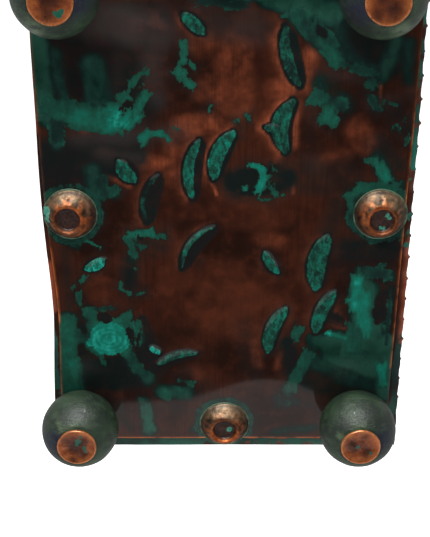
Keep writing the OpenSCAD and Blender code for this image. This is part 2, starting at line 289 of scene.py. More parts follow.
def plateFinish():
    # hammered copper under lacquer: liver brown, soot and painted shadow, rubbed spots, a rubbed rim with a
    # painted edge highlight and brushed verdigris, from painted marks
    mat, tree = startFinish("hammeredPlate")
    t = copperTones
    place = objectPlace(tree)
    cloud = noiseOf(tree, place, 22, 5, 0.6)
    mottle = noiseOf(tree, place, 95, 6, 0.62)
    brush = noiseOf(tree, place, 300, 4, 0.6, stretch=(1, 1, 0.55), shift=(0.3, 0, 0.1))
    speck = noiseOf(tree, place, 900, 3, 0.6)
    grain = noiseOf(tree, place, 420, 3, 0.6, stretch=(1.6, 1, 0.07))
    verdigris, bloom = markOf(tree, "verdigris"), markOf(tree, "bloom")
    sootAndShade, warm, rim = markOf(tree, "sootAndShade"), markOf(tree, "warm"), markOf(tree, "rim")
    wash, smokeAndSheen, crinkle = markOf(tree, "wash"), markOf(tree, "smokeAndSheen"), markOf(tree, "crinkle")

    ragged = swingOf(tree, mottle, 9.0)
    ragged = sumOf(tree, ragged, swingOf(tree, brush, 8.0))
    ragged = sumOf(tree, ragged, swingOf(tree, speck, 2.5))
    calm = restOf(tree, timesOf(tree, crinkle, 0.78))
    ragged = timesOf(tree, ragged, calm)
    reach = sumOf(tree, verdigris, ragged)
    green = fadeOf(tree, reach, -0.1, 0.3)
    outline = fadeOf(tree, reach, -1.7, -0.3, 0.0, 0.85)
    fringe = mostOf(tree, outline, fadeOf(tree, reach, -7.0, -0.8, 0.0, 0.5))

    brown = blendOf(tree, fadeOf(tree, cloud, 0.38, 0.66), t["liverDeep"], t["liver"])
    brown = blendOf(tree, fadeOf(tree, mottle, 0.5, 0.75, 0.0, 0.55), brown, t["liverRed"])
    brown = blendOf(tree, fadeOf(tree, grain, 0.35, 0.7, 0.0, 0.5), brown, t["liverDeep"])
    glow = timesOf(tree, warm, fadeOf(tree, mottle, 0.3, 0.68, 0.45, 1.35), True)
    glow = timesOf(tree, glow, fadeOf(tree, grain, 0.3, 0.65, 0.7, 1.1), True)
    brown = blendOf(tree, glow, brown, t["rubbedAndHighlight"])
    # the soot mark also holds painted shadow round the knobs and domes, which darkens the plate there
    dark = timesOf(tree, sootAndShade, fadeOf(tree, mottle, 0.3, 0.65, 1.25, 0.9), True)
    dark = mostOf(tree, dark, timesOf(tree, fringe, restOf(tree, glow)))
    black = blendOf(tree, fadeOf(tree, cloud, 0.4, 0.6), t["sootAndShade"], t["sootGreen"])
    brown = blendOf(tree, dark, brown, black)
    haze = timesOf(tree, smokeAndSheen, fadeOf(tree, cloud, 0.35, 0.65, 0.6, 1.1), True)
    brown = blendOf(tree, haze, brown, t["smokeAndSheen"])
    veil = timesOf(tree, wash, fadeOf(tree, mottle, 0.3, 0.7, 0.7, 1.2), True)
    veil = timesOf(tree, veil, fadeOf(tree, brush, 0.3, 0.7, 0.85, 1.1), True)
    veilTeal = rampOf(tree, veil, [(0.0, t["sootGreen"]), (0.32, t["tealDeep"]), (0.72, t["tealDusty"])])
    brown = blendOf(tree, fadeOf(tree, veil, 0.02, 0.4), brown, veilTeal)

    tone = sumOf(tree, bloom, swingOf(tree, mottle, 0.55))
    tone = sumOf(tree, tone, swingOf(tree, brush, 0.45))
    folds = sumOf(tree, fadeOf(tree, brush, 0.4, 0.6, -0.16, 0.10),
                  fadeOf(tree, speck, 0.4, 0.56, -0.12, 0.03))
    wrinkles = timesOf(tree, crinkle, folds)
    tone = sumOf(tree, tone, wrinkles)
    teal = rampOf(tree, tone, [(0.0, t["sootGreen"]), (0.27, t["tealDeep"]), (0.56, t["teal"]),
                               (0.84, t["tealBright"]), (1.0, t["tealPale"])])
    colour = blendOf(tree, green, brown, teal)
    # the rim mark is rubbed copper and a painted edge highlight
    wornAndHighlight = timesOf(tree, rim, fadeOf(tree, mottle, 0.3, 0.56, 0.2, 1.4), True)
    colour = blendOf(tree, wornAndHighlight, colour, t["flame"])

    metal = blendValue(tree, green, 0.72, 0.0)
    metal = blendValue(tree, dark, metal, 0.2)
    polish = blendValue(tree, green, fadeOf(tree, mottle, 0.3, 0.7, 0.42, 0.56), 0.6)
    bump = bumpOf(tree, grain, 0.12, 0.0004)
    bump = bumpOf(tree, green, 0.25, 0.0002, bump)
    bump = bumpOf(tree, mottle, 0.18, 0.0006, bump)
    bump = bumpOf(tree, wrinkles, 0.5, 0.0004, bump)
    linked = {"Base Color": colour, "Metallic": metal, "Roughness": polish, "Normal": bump}
    return endFinish(mat, tree, linked, {"Coat Weight": 0.85, "Coat Roughness": 0.03, "Coat IOR": 1.5,
                                         "Specular IOR Level": 0.12})


def sheetFinish():
    # the box's own sheets: brown copper with soot clouds and brushed teal patches
    mat, tree = startFinish("sheetCopper")
    t = copperTones
    place = objectPlace(tree)
    cloud = noiseOf(tree, place, 14, 5, 0.6, shift=(1.3, 0.4, 2.2))
    drift = noiseOf(tree, place, 9, 4, 0.55, shift=(4.1, 2.7, 0.6))
    mottle = noiseOf(tree, place, 85, 6, 0.62)
    brush = noiseOf(tree, place, 260, 4, 0.6, stretch=(1, 1, 0.5))
    grain = noiseOf(tree, place, 420, 3, 0.6, stretch=(1.6, 1.6, 0.07))
    verdigris, bloom, warm = markOf(tree, "verdigris"), markOf(tree, "bloom"), markOf(tree, "warm")

    ragged = swingOf(tree, mottle, 0.30)
    ragged = sumOf(tree, ragged, swingOf(tree, brush, 0.16))
    reach = sumOf(tree, cloud, ragged)
    green = fadeOf(tree, reach, 0.575, 0.60)
    fringe = fadeOf(tree, reach, 0.44, 0.57, 0.0, 0.8)
    painted = sumOf(tree, verdigris, timesOf(tree, ragged, 18.0))
    green = mostOf(tree, green, fadeOf(tree, painted, -0.1, 0.5))

    brown = blendOf(tree, fadeOf(tree, drift, 0.4, 0.62), t["liverDeep"], t["liver"])
    brown = blendOf(tree, fadeOf(tree, mottle, 0.45, 0.75, 0.0, 0.7), brown, t["liverRed"])
    brown = blendOf(tree, fadeOf(tree, grain, 0.35, 0.7, 0.0, 0.45), brown, t["liverDeep"])
    dark = mostOf(tree, fringe, fadeOf(tree, drift, 0.52, 0.36, 0.0, 0.85))
    brown = blendOf(tree, dark, brown, t["sootAndShade"])
    # the warm mark on the front wall's edges is rubbed copper with a painted edge highlight
    brown = blendOf(tree, warm, brown, t["rubbedAndHighlight"])
    tone = sumOf(tree, fadeOf(tree, drift, 0.3, 0.7, 0.25, 0.85), bloom)
    tone = sumOf(tree, tone, swingOf(tree, mottle, 0.6))
    teal = rampOf(tree, tone, [(0.0, t["sootGreen"]), (0.27, t["tealDeep"]), (0.56, t["teal"]),
                               (0.84, t["tealBright"]), (1.0, t["tealPale"])])
    colour = blendOf(tree, green, brown, teal)

    metal = blendValue(tree, green, 0.72, 0.0)
    metal = blendValue(tree, dark, metal, 0.2)
    polish = blendValue(tree, green, fadeOf(tree, mottle, 0.3, 0.7, 0.4, 0.55), 0.62)
    bump = bumpOf(tree, grain, 0.12, 0.0004)
    bump = bumpOf(tree, mottle, 0.2, 0.0006, bump)
    linked = {"Base Color": colour, "Metallic": metal, "Roughness": polish, "Normal": bump}
    return endFinish(mat, tree, linked, {"Coat Weight": 0.4, "Coat Roughness": 0.12, "Coat IOR": 1.5,
                                         "Specular IOR Level": 0.3})


def ballFinish():
    # balls under a satin green patina, blue-black in places, with a grained skin and painted highlights where
    # the light would fall
    mat, tree = startFinish("patinaBall")
    place = objectPlace(tree)
    cloud = noiseOf(tree, place, 38, 5, 0.6)
    smear = noiseOf(tree, place, 130, 6, 0.65, stretch=(0.55, 1, 1.5))
    skin = noiseOf(tree, place, 620, 5, 0.7)
    bruise, paintedHighlight = markOf(tree, "sootAndShade"), markOf(tree, "warm")
    colour = rampOf(tree, cloud, [(0.3, rgb(13, 20, 18)), (0.45, rgb(22, 36, 25)), (0.6, rgb(34, 54, 34)),
                                  (0.78, rgb(22, 62, 36))])
    colour = blendOf(tree, fadeOf(tree, smear, 0.46, 0.72, 0.0, 0.7), colour, rgb(48, 66, 44))
    colour = blendOf(tree, fadeOf(tree, smear, 0.46, 0.3, 0.0, 0.85), colour, rgb(16, 26, 24))
    # painted highlight and painted reflection: the pale spots lighten the ball at its lit top and, on the
    # upper balls, at the bottom edge
    colour = blendOf(tree, timesOf(tree, paintedHighlight, fadeOf(tree, smear, 0.35, 0.6)), colour, rgb(66, 82, 58))
    colour = blendOf(tree, timesOf(tree, bruise, fadeOf(tree, smear, 0.3, 0.5)), colour, rgb(10, 16, 36))
    colour = blendOf(tree, fadeOf(tree, skin, 0.54, 0.76, 0.0, 0.4), colour, rgb(56, 66, 46))
    polish = blendValue(tree, paintedHighlight, fadeOf(tree, smear, 0.3, 0.75, 0.56, 0.74), 0.36)
    bump = bumpOf(tree, skin, 0.8, 0.0006)
    bump = bumpOf(tree, smear, 0.6, 0.0014, bump)
    linked = {"Base Color": colour, "Roughness": polish, "Normal": bump, "Coat Normal": bump}
    return endFinish(mat, tree, linked, {"Coat Weight": 0.5, "Coat Roughness": 0.09, "Coat IOR": 1.6,
                                         "Specular IOR Level": 0.25})


def capFinish():
    # flame-coloured copper discs with smoke marks, a few specks of green and a painted highlight on the rim
    mat, tree = startFinish("flameCopper")
    t = copperTones
    place = objectPlace(tree)
    cloud = noiseOf(tree, place, 110, 5, 0.6)
    speck = noiseOf(tree, place, 420, 5, 0.65)
    verdigris, sootAndShade = markOf(tree, "verdigris"), markOf(tree, "sootAndShade")
    outward, edge = markOf(tree, "warm"), markOf(tree, "rim")
    heat = sumOf(tree, cloud, timesOf(tree, outward, 0.3))
    colour = rampOf(tree, heat, [(0.36, rgb(70, 36, 26)), (0.54, rgb(106, 54, 32)), (0.72, rgb(150, 78, 42)),
                                 (0.92, rgb(186, 108, 60))])
    colour = blendOf(tree, fadeOf(tree, speck, 0.5, 0.72, 0.0, 0.6), colour, rgb(96, 50, 34))
    colour = blendOf(tree, sootAndShade, colour, rgb(62, 36, 28))
    # painted highlight along the disc's raised rim
    shine = timesOf(tree, edge, fadeOf(tree, speck, 0.35, 0.6, 0.2, 1.0))
    colour = blendOf(tree, shine, colour, rgb(222, 142, 90))
    ragged = swingOf(tree, speck, 3.0)
    green = fadeOf(tree, sumOf(tree, verdigris, ragged), -0.15, 0.4)
    colour = blendOf(tree, green, colour, t["teal"])
    metal = blendValue(tree, green, 0.6, 0.0)
    polish = fadeOf(tree, speck, 0.3, 0.7, 0.26, 0.42)
    bump = bumpOf(tree, speck, 0.3, 0.0004)
    linked = {"Base Color": colour, "Metallic": metal, "Roughness": polish, "Normal": bump}
    return endFinish(mat, tree, linked, {"Coat Weight": 0.3, "Coat Roughness": 0.12})


def domeFinish():
    # dimpled domes: smoky flanks with a painted tan sheen on top, a flame-coloured ring lit brighter on one
    # side, a painted reflection crescent below, a dark dimple floor, a painted shadow line at the foot and a
    # painted dark reflection dot
    mat, tree = startFinish("domeCopper")
    place = objectPlace(tree)
    cloud = noiseOf(tree, place, 130, 5, 0.6)
    speck = noiseOf(tree, place, 480, 5, 0.65)
    verdigris, sootAndShade = markOf(tree, "verdigris"), markOf(tree, "sootAndShade")
    warm, collar, paintedSheen = markOf(tree, "warm"), markOf(tree, "rim"), markOf(tree, "smokeAndSheen")
    colour = rampOf(tree, cloud, [(0.34, rgb(30, 22, 20)), (0.5, rgb(70, 48, 36)), (0.66, rgb(118, 88, 64))])
    # painted sheen: the flank is made tan on the side turned to the light
    colour = blendOf(tree, timesOf(tree, paintedSheen, fadeOf(tree, speck, 0.3, 0.6, 0.5, 1.0)), colour,
                     rgb(142, 122, 94))
    flame = rampOf(tree, speck, [(0.3, rgb(150, 66, 30)), (0.55, rgb(212, 112, 54)),
                                 (0.75, rgb(240, 150, 88))])
    # the warm mark is the rubbed ring, with a painted highlight on its lit side and a painted reflection
    # crescent below
    colour = blendOf(tree, warm, colour, flame)
    floorTone = rampOf(tree, speck, [(0.35, rgb(30, 18, 16)), (0.65, rgb(66, 36, 27))])
    # the soot mark here is the dimple floor, a painted shadow line near the foot and a painted dark
    # reflection dot
    colour = blendOf(tree, sootAndShade, colour, floorTone)
    ragged = swingOf(tree, speck, 2.4)
    green = fadeOf(tree, sumOf(tree, verdigris, ragged), -0.15, 0.3)
    collar = timesOf(tree, collar, fadeOf(tree, cloud, 0.36, 0.6, 0.3, 1.0))
    colour = blendOf(tree, collar, colour, rgb(58, 100, 78))
    greenTone = rampOf(tree, speck, [(0.35, rgb(20, 104, 84)), (0.65, rgb(70, 150, 126))])
    colour = blendOf(tree, green, colour, greenTone)
    metal = blendValue(tree, mostOf(tree, green, collar), 0.8, 0.0)
    metal = blendValue(tree, sootAndShade, metal, 0.25)
    polish = fadeOf(tree, cloud, 0.3, 0.7, 0.38, 0.55)
    bump = bumpOf(tree, speck, 0.5, 0.0008)
    linked = {"Base Color": colour, "Metallic": metal, "Roughness": polish, "Normal": bump,
              "Coat Normal": bump}
    return endFinish(mat, tree, linked, {"Coat Weight": 0.15, "Coat Roughness": 0.2})


def rivetFinish():
    mat, tree = startFinish("rivetCopper")
    place = objectPlace(tree)
    cloud = noiseOf(tree, place, 60, 4, 0.6)
    speck = noiseOf(tree, place, 600, 4, 0.65)
    colour = rampOf(tree, cloud, [(0.35, rgb(48, 34, 28)), (0.5, rgb(110, 60, 40)),
                                 (0.68, rgb(204, 116, 72))])
    colour = blendOf(tree, fadeOf(tree, speck, 0.5, 0.75, 0.0, 0.6), colour, rgb(40, 70, 56))
    polish = fadeOf(tree, speck, 0.3, 0.7, 0.32, 0.5)
    bump = bumpOf(tree, speck, 0.3, 0.0003)
    linked = {"Base Color": colour, "Roughness": polish, "Normal": bump}
    return endFinish(mat, tree, linked, {"Metallic": 0.7, "Coat Weight": 0.3, "Coat Roughness": 0.15})


def hingeFinish():
    mat, tree = startFinish("hingeCopper")
    place = objectPlace(tree)
    streak = noiseOf(tree, place, 160, 4, 0.6, stretch=(0.2, 1, 1))
    speck = noiseOf(tree, place, 500, 4, 0.65)
    colour = rampOf(tree, streak, [(0.3, rgb(62, 34, 26)), (0.5, rgb(112, 62, 42)), (0.7, rgb(168, 98, 66))])
    colour = blendOf(tree, fadeOf(tree, speck, 0.58, 0.76, 0.0, 0.7), colour, rgb(44, 92, 74))
    polish = fadeOf(tree, speck, 0.3, 0.7, 0.3, 0.48)
    bump = bumpOf(tree, speck, 0.25, 0.0003)
    linked = {"Base Color": colour, "Roughness": polish, "Normal": bump}
    return endFinish(mat, tree, linked, {"Metallic": 0.85, "Coat Weight": 0.2, "Coat Roughness": 0.15})


def brassFinish():
    mat, tree = startFinish("brassHardware")
    place = objectPlace(tree)
    lathe = noiseOf(tree, place, 700, 3, 0.6, stretch=(1, 4, 1))
    cloud = noiseOf(tree, place, 150, 4, 0.6)
    colour = rampOf(tree, cloud, [(0.3, rgb(120, 84, 44)), (0.55, rgb(186, 140, 76)),
                                 (0.75, rgb(214, 172, 104))])
    polish = fadeOf(tree, cloud, 0.3, 0.7, 0.28, 0.45)
    bump = bumpOf(tree, lathe, 0.2, 0.0002)
    linked = {"Base Color": colour, "Roughness": polish, "Normal": bump}
    return endFinish(mat, tree, linked, {"Metallic": 1.0})


finishes = {
    "plate": plateFinish(),
    "sheet": sheetFinish(),
    "ball": ballFinish(),
    "cap": capFinish(),
    "dome": domeFinish(),
    "rivet": rivetFinish(),
    "hinge": hingeFinish(),
    "brass": brassFinish(),
}
print("finishes ready")


# shared making

def addPiece(bm, name, body, finish, standsFor, sharp=40.0):
    mesh = bpy.data.meshes.new(name)
    for face in bm.faces:
        face.smooth = True
    bm.to_mesh(mesh)
    bm.free()
    mesh.set_sharp_from_angle(angle=math.radians(sharp))
    mesh.materials.append(finishes[finish])
    piece = bpy.data.objects.new(name, mesh)
    scene.collection.objects.link(piece)
    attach(piece, body)
    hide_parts(*standsFor)
    return piece


def pointsOf(piece):
    flat = np.empty(len(piece.data.vertices) * 3, dtype=np.float32)
    piece.data.vertices.foreach_get("co", flat)
    return flat.reshape(-1, 3).astype(float) / mm


def storeMark(piece, name, values):
    mark = piece.data.attributes.new(name, "FLOAT", "POINT")
    mark.data.foreach_set("value", np.asarray(values, dtype=np.float32))


def ripple(x, y, z, size, seed):
    # smooth noise from -1 to 1 with features of the given size in mm
    return noise.noise(Vector((x, y, z)) / size + Vector((seed * 7.31, seed * 3.17, seed * 5.93)))


handWork = {
    "dentDeep": 3.4,   # how far the left side was knocked in, in mm
    "dentStart": 40,   # how far left of the middle the dent starts
    "dentGrow": 87,    # the width over which it grows
    "dentUp": -75,     # its height on the box, and how far it reaches up and down
    "dentReach": 52,
    "sideWave": (0.35, 55),  # height and length of the slow waves in the sheet
    "outWave": (0.35, 60),
    "upWave": (0.3, 60),
}
seamRows = {
    "count": 20,
    "scallop": 0.35,   # how far the sheet's edge waves in and out with the rivets
    "foldX": 110,      # where across the box the waving starts, and the width over which it grows
    "foldGrow": 12,
    "backY": -80,      # how far back it reaches, and the depth over which it fades
    "backFade": 10,
}
seamLow, seamHigh = boxOf("seam_rivets")
wallLow, wallHigh = boxOf("front_wall")
plateFront = boxOf("front_plate")[0].y
headRadius = (seamHigh.y - seamLow.y) / 2
seamPitch = (seamHigh.z - seamLow.z - 2 * headRadius) / (seamRows["count"] - 1)
seamStart = seamLow.z + headRadius


def handShift(x, y, z):
    # how far the hand work moved the metal from the drawn shape, in mm
    h, seam = handWork, seamRows
    side = max(0.0, -x - h["dentStart"]) / h["dentGrow"]
    dent = h["dentDeep"] * side * math.exp(-((z - h["dentUp"]) / h["dentReach"]) ** 2)
    shiftX = dent + h["sideWave"][0] * ripple(x, y, z, h["sideWave"][1], 1)
    if x > seam["foldX"] and wallLow.y - 0.1 < y < seam["backY"]:
        nearSeam = min(1.0, (x - seam["foldX"]) / seam["foldGrow"])
        nearSeam *= min(1.0, (seam["backY"] - y) / seam["backFade"])
        turns = (z - seamStart) / seamPitch
        shiftX += nearSeam * seam["scallop"] * math.cos(2 * math.pi * turns)
    shiftY = h["outWave"][0] * ripple(x, y, z, h["outWave"][1], 2)
    shiftZ = h["upWave"][0] * ripple(x, y, z, h["upWave"][1], 3)
    return Vector((shiftX, shiftY, shiftZ))


def alongStroke(px, pz, stroke):
    # a stroke's length, the place along it from -1 to 1, and the mm across it
    x1, z1, x2, z2 = stroke[:4]
    dx, dz = x2 - x1, z2 - z1
    length = math.hypot(dx, dz)
    ux, uz = dx / length, dz / length
    middle = 2 * ((px - x1) * ux + (pz - z1) * uz) / length - 1
    across = (px - x1) * uz - (pz - z1) * ux
    return length, middle, across


def leafField(px, pz, leaf):
    # mm inside a tapered, bent leaf, negative outside, and the mm across its spine
    length, middle, across = alongStroke(px, pz, leaf)
    width, bend = leaf[4:6]
    inside = np.clip(1 - middle ** 2, 0, 1)
    half = width / 2 * (0.3 + 0.7 * inside ** 0.5)
    beyond = np.maximum(np.abs(middle) - 1, 0) * length / 2
    side = across - bend * inside
    return half - np.hypot(side, beyond), side


def brushReach(px, pz, stroke):
    # mm inside a flat brush stroke with straight sides and streaked ends, negative outside it
    length, middle, across = alongStroke(px, pz, stroke)
    x1, z1, x2 = stroke[:3]
    width = stroke[4]
    streaks = np.sin(across * 1.9 + x1) + 0.8 * np.sin(across * 3.3 + z1) + 0.6 * np.sin(across * 5.1 + x2)
    reachEnds = (1 - np.abs(middle)) * length / 2 + min(0.9, width / 8) * streaks
    return np.minimum(width / 2 - np.abs(across), reachEnds)


def softCloud(px, pz, cloud, feather):
    # the strength of a round-ended cloud whose edge fades over its feather
    x1, z1, x2, z2, width, strength = cloud
    dx, dz = x2 - x1, z2 - z1
    share = np.clip(((px - x1) * dx + (pz - z1) * dz) / (dx * dx + dz * dz), 0, 1)
    away = np.hypot(px - x1 - dx * share, pz - z1 - dz * share)
    soft = np.clip((width / 2 + feather - away) / (2 * feather), 0, 1)
    return strength * soft * soft * (3 - 2 * soft)


def cloudsOf(px, pz, clouds, feather):
    strength = np.zeros(len(px))
    for cloud in clouds:
        strength = np.maximum(strength, softCloud(px, pz, cloud, feather))
    return strength


def spotReach(px, pz, spots):
    # mm inside the nearest of some round spots, negative outside them
    reach = np.full(len(px), -5.0)
    for x, z, radius in spots:
        reach = np.maximum(reach, radius - np.hypot(px - x, pz - z))
    return reach


print("making the front plate")

frontPlate = {
    "step": 1.12,
    "footWidth": 241.0,
    "headWidth": 253.0,
    "cornerRadius": 4.0,
    "waviness": 0.05,
    "waveSize": 85,
    "fineWaveSize": 24,
    "dentDepth": 0.6,
    "ridge": 0.04,
    "footSwell": (30, -112, 42, 0.45),  # across, up, reach and height of the low swelling near the foot
    "brushWander": 1.6,   # how far the brush marks stray in mm, and over what length
    "wanderSize": 14,
    "sootFeather": 6.0,   # how softly each kind of mark ends, in mm
    "washFeather": 5.0,
    "smokeFeather": 7.0,
    "warmFeather": 5.0,
    "rimFeather": 6.0,
    "rimFloor": 0.05,
    "rimWidth": 1.4,
    "poolMiddle": (-84, -98),
    "poolRings": 0.05,
    "crust": (20.2, 2.2, 17.0),  # middle radius, half width and inner radius of the crust round a dome
    # painted shadow on the plate round each dome, then round each knob
    "domeShadow": (24, 6),         # reach from the dome's middle and fade, in mm
    "knobShadow": (38, 20),
}

# leaf dents: from, to, width, bulge, verdigris tone, share of the width that is green, glow beside the bulge
leafDents = [
    (-18.5, 53, -23.5, 12, 12, 2.8, 0.62, 0.62, 0.40),
    (4, 59, -9, 26, 12.5, 2.8, 0.66, 0.85, 0.60),
    (-46.5, 28, -55, -6, 11.5, 1.8, 0.25, 0.30, 0.25),
    (-9, -10, -31, -41, 10.5, 3.3, 0.58, 0.40, 0.20),
    (26.5, -29, 36, -45, 8, 0.6, 0.66, 0.85, 0.10),
    (69.5, -17, 63, -57, 14.5, 2.8, 0.55, 0.95, 0.15),
    (42, -73, 30, -108, 11, 3.0, 0.60, 0.95, 0.15),
    (76, -60, 64, -92, 11.5, 1.8, 0.58, 0.90, 0.15),
    (-22, -109.5, -49, -119, 8, 2.0, 0.56, 0.80, 0.15),
    (43, 81, 39, 45, 13, 5.5, 0.54, 0.92, 0.70),
    (35, 61, 25, 62.5, 6.5, -0.5, 0.54, 0.90, 0.60),
    (37, 130, 47, 91, 12, 1.5, 0.42, 0.65, 0.60),
    (-73, 38.5, -62.5, 24, 12, 0.5, 0.62, 0.85, 0.10),
    (-28.5, 138, -15.5, 125.5, 9.5, -0.5, 0.56, 0.90, 0.30),
    (-98.5, -42, -85.5, -34.5, 8.5, 0.8, 0.92, 1.00, 0.05),
    (-55, -104.5, -48, -110, 5.6, 0.0, 0.92, 1.00, 0.05),
]

# brushed verdigris: from, to, width, tone
verdigrisStrokes = [
    (-122, 78, -90, 70, 16, 0.46), (-106, 71, -76, 66, 18, 0.66), (-82, 69, -67, 67, 22, 0.90),
    (-70, 61, -60, 74, 12, 0.88), (-66, 65, -51, 88, 7, 0.60), (-70, 81, -52, 102, 8, 0.50),
    (-112, 68, -113, 50, 9, 0.20), (-60, 51, -50, 59, 8, 0.68), (-52, 57, -43, 58, 5, 0.64),
    (-43, 58, -38, 53, 3.5, 0.58), (-84, 28, -84, 12, 6, 0.22), (-85, 12, -73, 20, 6, 0.30),
    (-69, -16, -52, -13, 7, 0.60), (-67, -16, -64, -33, 7, 0.46), (-54, -8, -49, -18, 5, 0.60),
    (-50, -17, -41, -16, 3.5, 0.46), (-62, -22, -56, -26, 5, 0.42), (-58, -6, -54, -14, 3, 0.60),
    (-114, -79, -114, -142, 13, 0.56), (-111, -112, -113, -141, 11, 0.64),
    (-119, -82, -108, -80, 4, 0.50), (-98, -72, -96, -108, 9, 0.42), (-96, -73, -79, -73.5, 3.5, 0.24),
    (-100, -97, -69, -97, 27, 0.52), (-64, -82, -66, -104, 8, 0.50), (-85, -86, -67, -79, 8, 0.50),
    (-98, -87, -72, -86, 13, 0.62), (-96, -106, -75, -107, 10, 0.60), (-110, -93, -98, -95, 8, 0.30),
    (-90, -110, -90, -120, 4, 0.50), (-80, -108, -71, -110, 8, 0.55), (-71, -111, -58, -130, 9, 0.34),
    (-60, -152, -57, -177, 9, 0.50), (-65, -146, -61, -154, 2.5, 0.30), (-49, -144, -40, -149, 7, 0.46),
    (-38, -137, -31, -148, 3.5, 0.40), (-36, -132, -24, -136, 4, 0.34), (13, 36.5, 27, 35, 5, 0.78),
    (24, 36, 25, 26, 7, 0.80), (26, 29, 19, 14, 6.5, 0.84), (11, 20.5, 12, 15, 4, 0.72),
    (28, 22, 35, 12, 5.5, 0.50), (28.5, 38, 33, 31, 2.5, 0.34), (20, 11, 33, 10.5, 1.6, 0.42),
    (-20, 147, 14, 144, 7, 0.20), (42, 141, 56, 121, 10, 0.32), (36, 138, 34, 118, 4, 0.38),
    (55, 134, 69, 115, 9, 0.30), (62, 117, 73, 105, 11, 0.50), (72, 107, 97, 99, 5, 0.34),
    (80, 103, 90, 99, 4, 0.30), (91, 96, 97, 91, 9, 0.38), (91, 87, 100, 72, 5, 0.28),
    (103, 80, 113, 78, 1.6, 0.28), (52, 81, 63, 79.5, 6, 0.48), (56, 88, 67, 82, 7, 0.38),
    (62, 73, 74, 66, 12, 0.58), (66, 82, 80, 76, 9, 0.28), (119, 70, 120, 50, 2, 0.24),
    (111, 63, 114, 58, 3.5, 0.24), (5, 68, 8, 57, 2.2, 0.52), (13, 71.5, 14, 65.5, 3, 0.48),
    (-10, 79, -13, 73, 3, 0.58), (-36, 63, -33, 60, 2.2, 0.38), (-28, 121, -29, 104, 5, 0.52),
    (-35, 102, -28, 96, 8, 0.58), (-28, 95, -21, 89, 4, 0.58), (-26, 106, -22, 103, 3, 0.50),
    (98, 41, 103, 34, 5, 0.60), (101, 37, 110, 22, 7, 0.70), (89, 20, 118, 18, 9, 0.50),
    (81, 12, 92, 19, 7, 0.54), (84, 14, 84, -3, 7, 0.46), (92, 39, 99, 40, 2, 0.36),
    (92, -46, 93, -77, 12, 0.84), (84, -65.5, 92, -64, 3, 0.80), (97, -58, 99, -98, 14, 0.76),
    (93, -84, 92, -112, 14, 0.44), (94, -43, 115, -47, 9, 0.28), (113, -116, 116, -139, 9, 0.80),
    (116, -62, 116, -104, 3.5, 0.24), (90, -40, 94, -43, 2.5, 0.32), (105, -39, 115, -38, 3, 0.26),
    (62, -87, 70, -91, 7, 0.95), (65, -90, 76, -95, 5, 0.86), (74, -94, 87, -97, 4, 0.66),
    (60, -108, 47, -141, 9, 0.46), (47, -99, 53, -87, 8, 0.48), (37, -147, 47, -153, 5, 0.16),
    (-98, -19, -87, -25, 3.5, 0.66), (-97, -45, -103, -53, 3, 0.52), (-106, -60, -105, -69, 5, 0.40),
    (-106, -54, -109, -57, 2, 0.38), (-107, -67, -112, -72, 2, 0.42), (-71, -51, -76, -57, 2.2, 0.48),
    (-76, -57, -66, -62, 1.8, 0.52), (-63, -61, -59, -60, 2, 0.48), (-64, -40, -62, -45, 2, 0.38),
    (-28, -33, -20, -36, 3.5, 0.58), (-30, -37, -27, -33, 3, 0.58),
]

# the emerald pool at the lower left: from, to, width, bulge, tone
emeraldPool = (-97, -101, -71, -94, 28, 0.6, 0.86)

# soft washes of verdigris that fade into the soot: from, to, width, strength
greenWashes = [
    (-123, 124, -119, 70, 14, 0.80), (-112, 112, -106, 78, 10, 0.45), (-88, 104, -84, 79, 18, 0.52),
    (-83, 90, -80, 78, 14, 0.45), (-120, 76, -88, 70, 15, 0.85), (-68, 102, -60, 85, 10, 0.42),
    (-113, 66, -113, 50, 8, 0.55), (-30, 152, 20, 149, 8, 0.50), (24, 150, 66, 138, 15, 0.78),
    (40, 140, 62, 118, 12, 0.55), (64, 148, 78, 112, 12, 0.36), (60, 120, 97, 100, 9, 0.42),
    (108, 120, 100, 98, 12, 0.50), (117, 118, 118, 96, 10, 0.42), (62, 92, 78, 78, 16, 0.34),
    (93, 98, 99, 76, 9, 0.36), (-91, 32, -90, 8, 11, 0.50), (-84, 26, -76, 14, 8, 0.36),
    (-113, -85, -113, -142, 16, 0.80), (-98, -75, -97, -105, 10, 0.50), (-102, -97, -72, -97, 24, 0.60),
    (-71, -110, -57, -132, 10, 0.62), (-46, -142, -30, -144, 12, 0.62), (-60, -150, -57, -178, 9, 0.52),
    (97, -60, 103, -100, 21, 0.95), (82, -106, 112, -118, 29, 0.84), (115, -100, 118, -143, 14, 0.90),
    (64, -99, 90, -104, 12, 0.75), (64, -116, 92, -126, 16, 0.44), (60, -110, 46, -142, 9, 0.66),
    (84, -130, 110, -136, 14, 0.36), (52, -150, 38, -153, 7, 0.36), (36, -178, 66, -174, 8, 0.42),
    (93, -44, 114, -48, 9, 0.50), (116, -60, 116, -106, 5, 0.45), (100, 42, 110, 24, 9, 0.50),
    (84, 16, 118, 20, 9, 0.42), (-112, -17, -104, -24, 7, 0.42), (-24, -176, -6, -181, 6, 0.45),
    (-78, -156, -70, -176, 8, 0.25), (-66, -34, -60, -14, 9, 0.30),
]

# grey smoke over the lacquer: from, to, width, strength
smokeVeils = [
    (-118, 142, -40, 126, 26, 0.55), (-100, 56, -30, 58, 12, 0.45), (-48, 112, -44, 84, 16, 0.42),
    (-36, 140, 16, 126, 20, 0.35), (-84, 44, -60, 40, 10, 0.40), (60, 100, 92, 94, 8, 0.35),
    (54, 74, 58, 34, 10, 0.25), (-58, 134, -42, 132, 13, 0.75), (88, 76, 118, 86, 12, 0.25),
    (4, 150, 16, 138, 12, 0.3), (-78, 60, -70, 110, 6, 0.2),
]

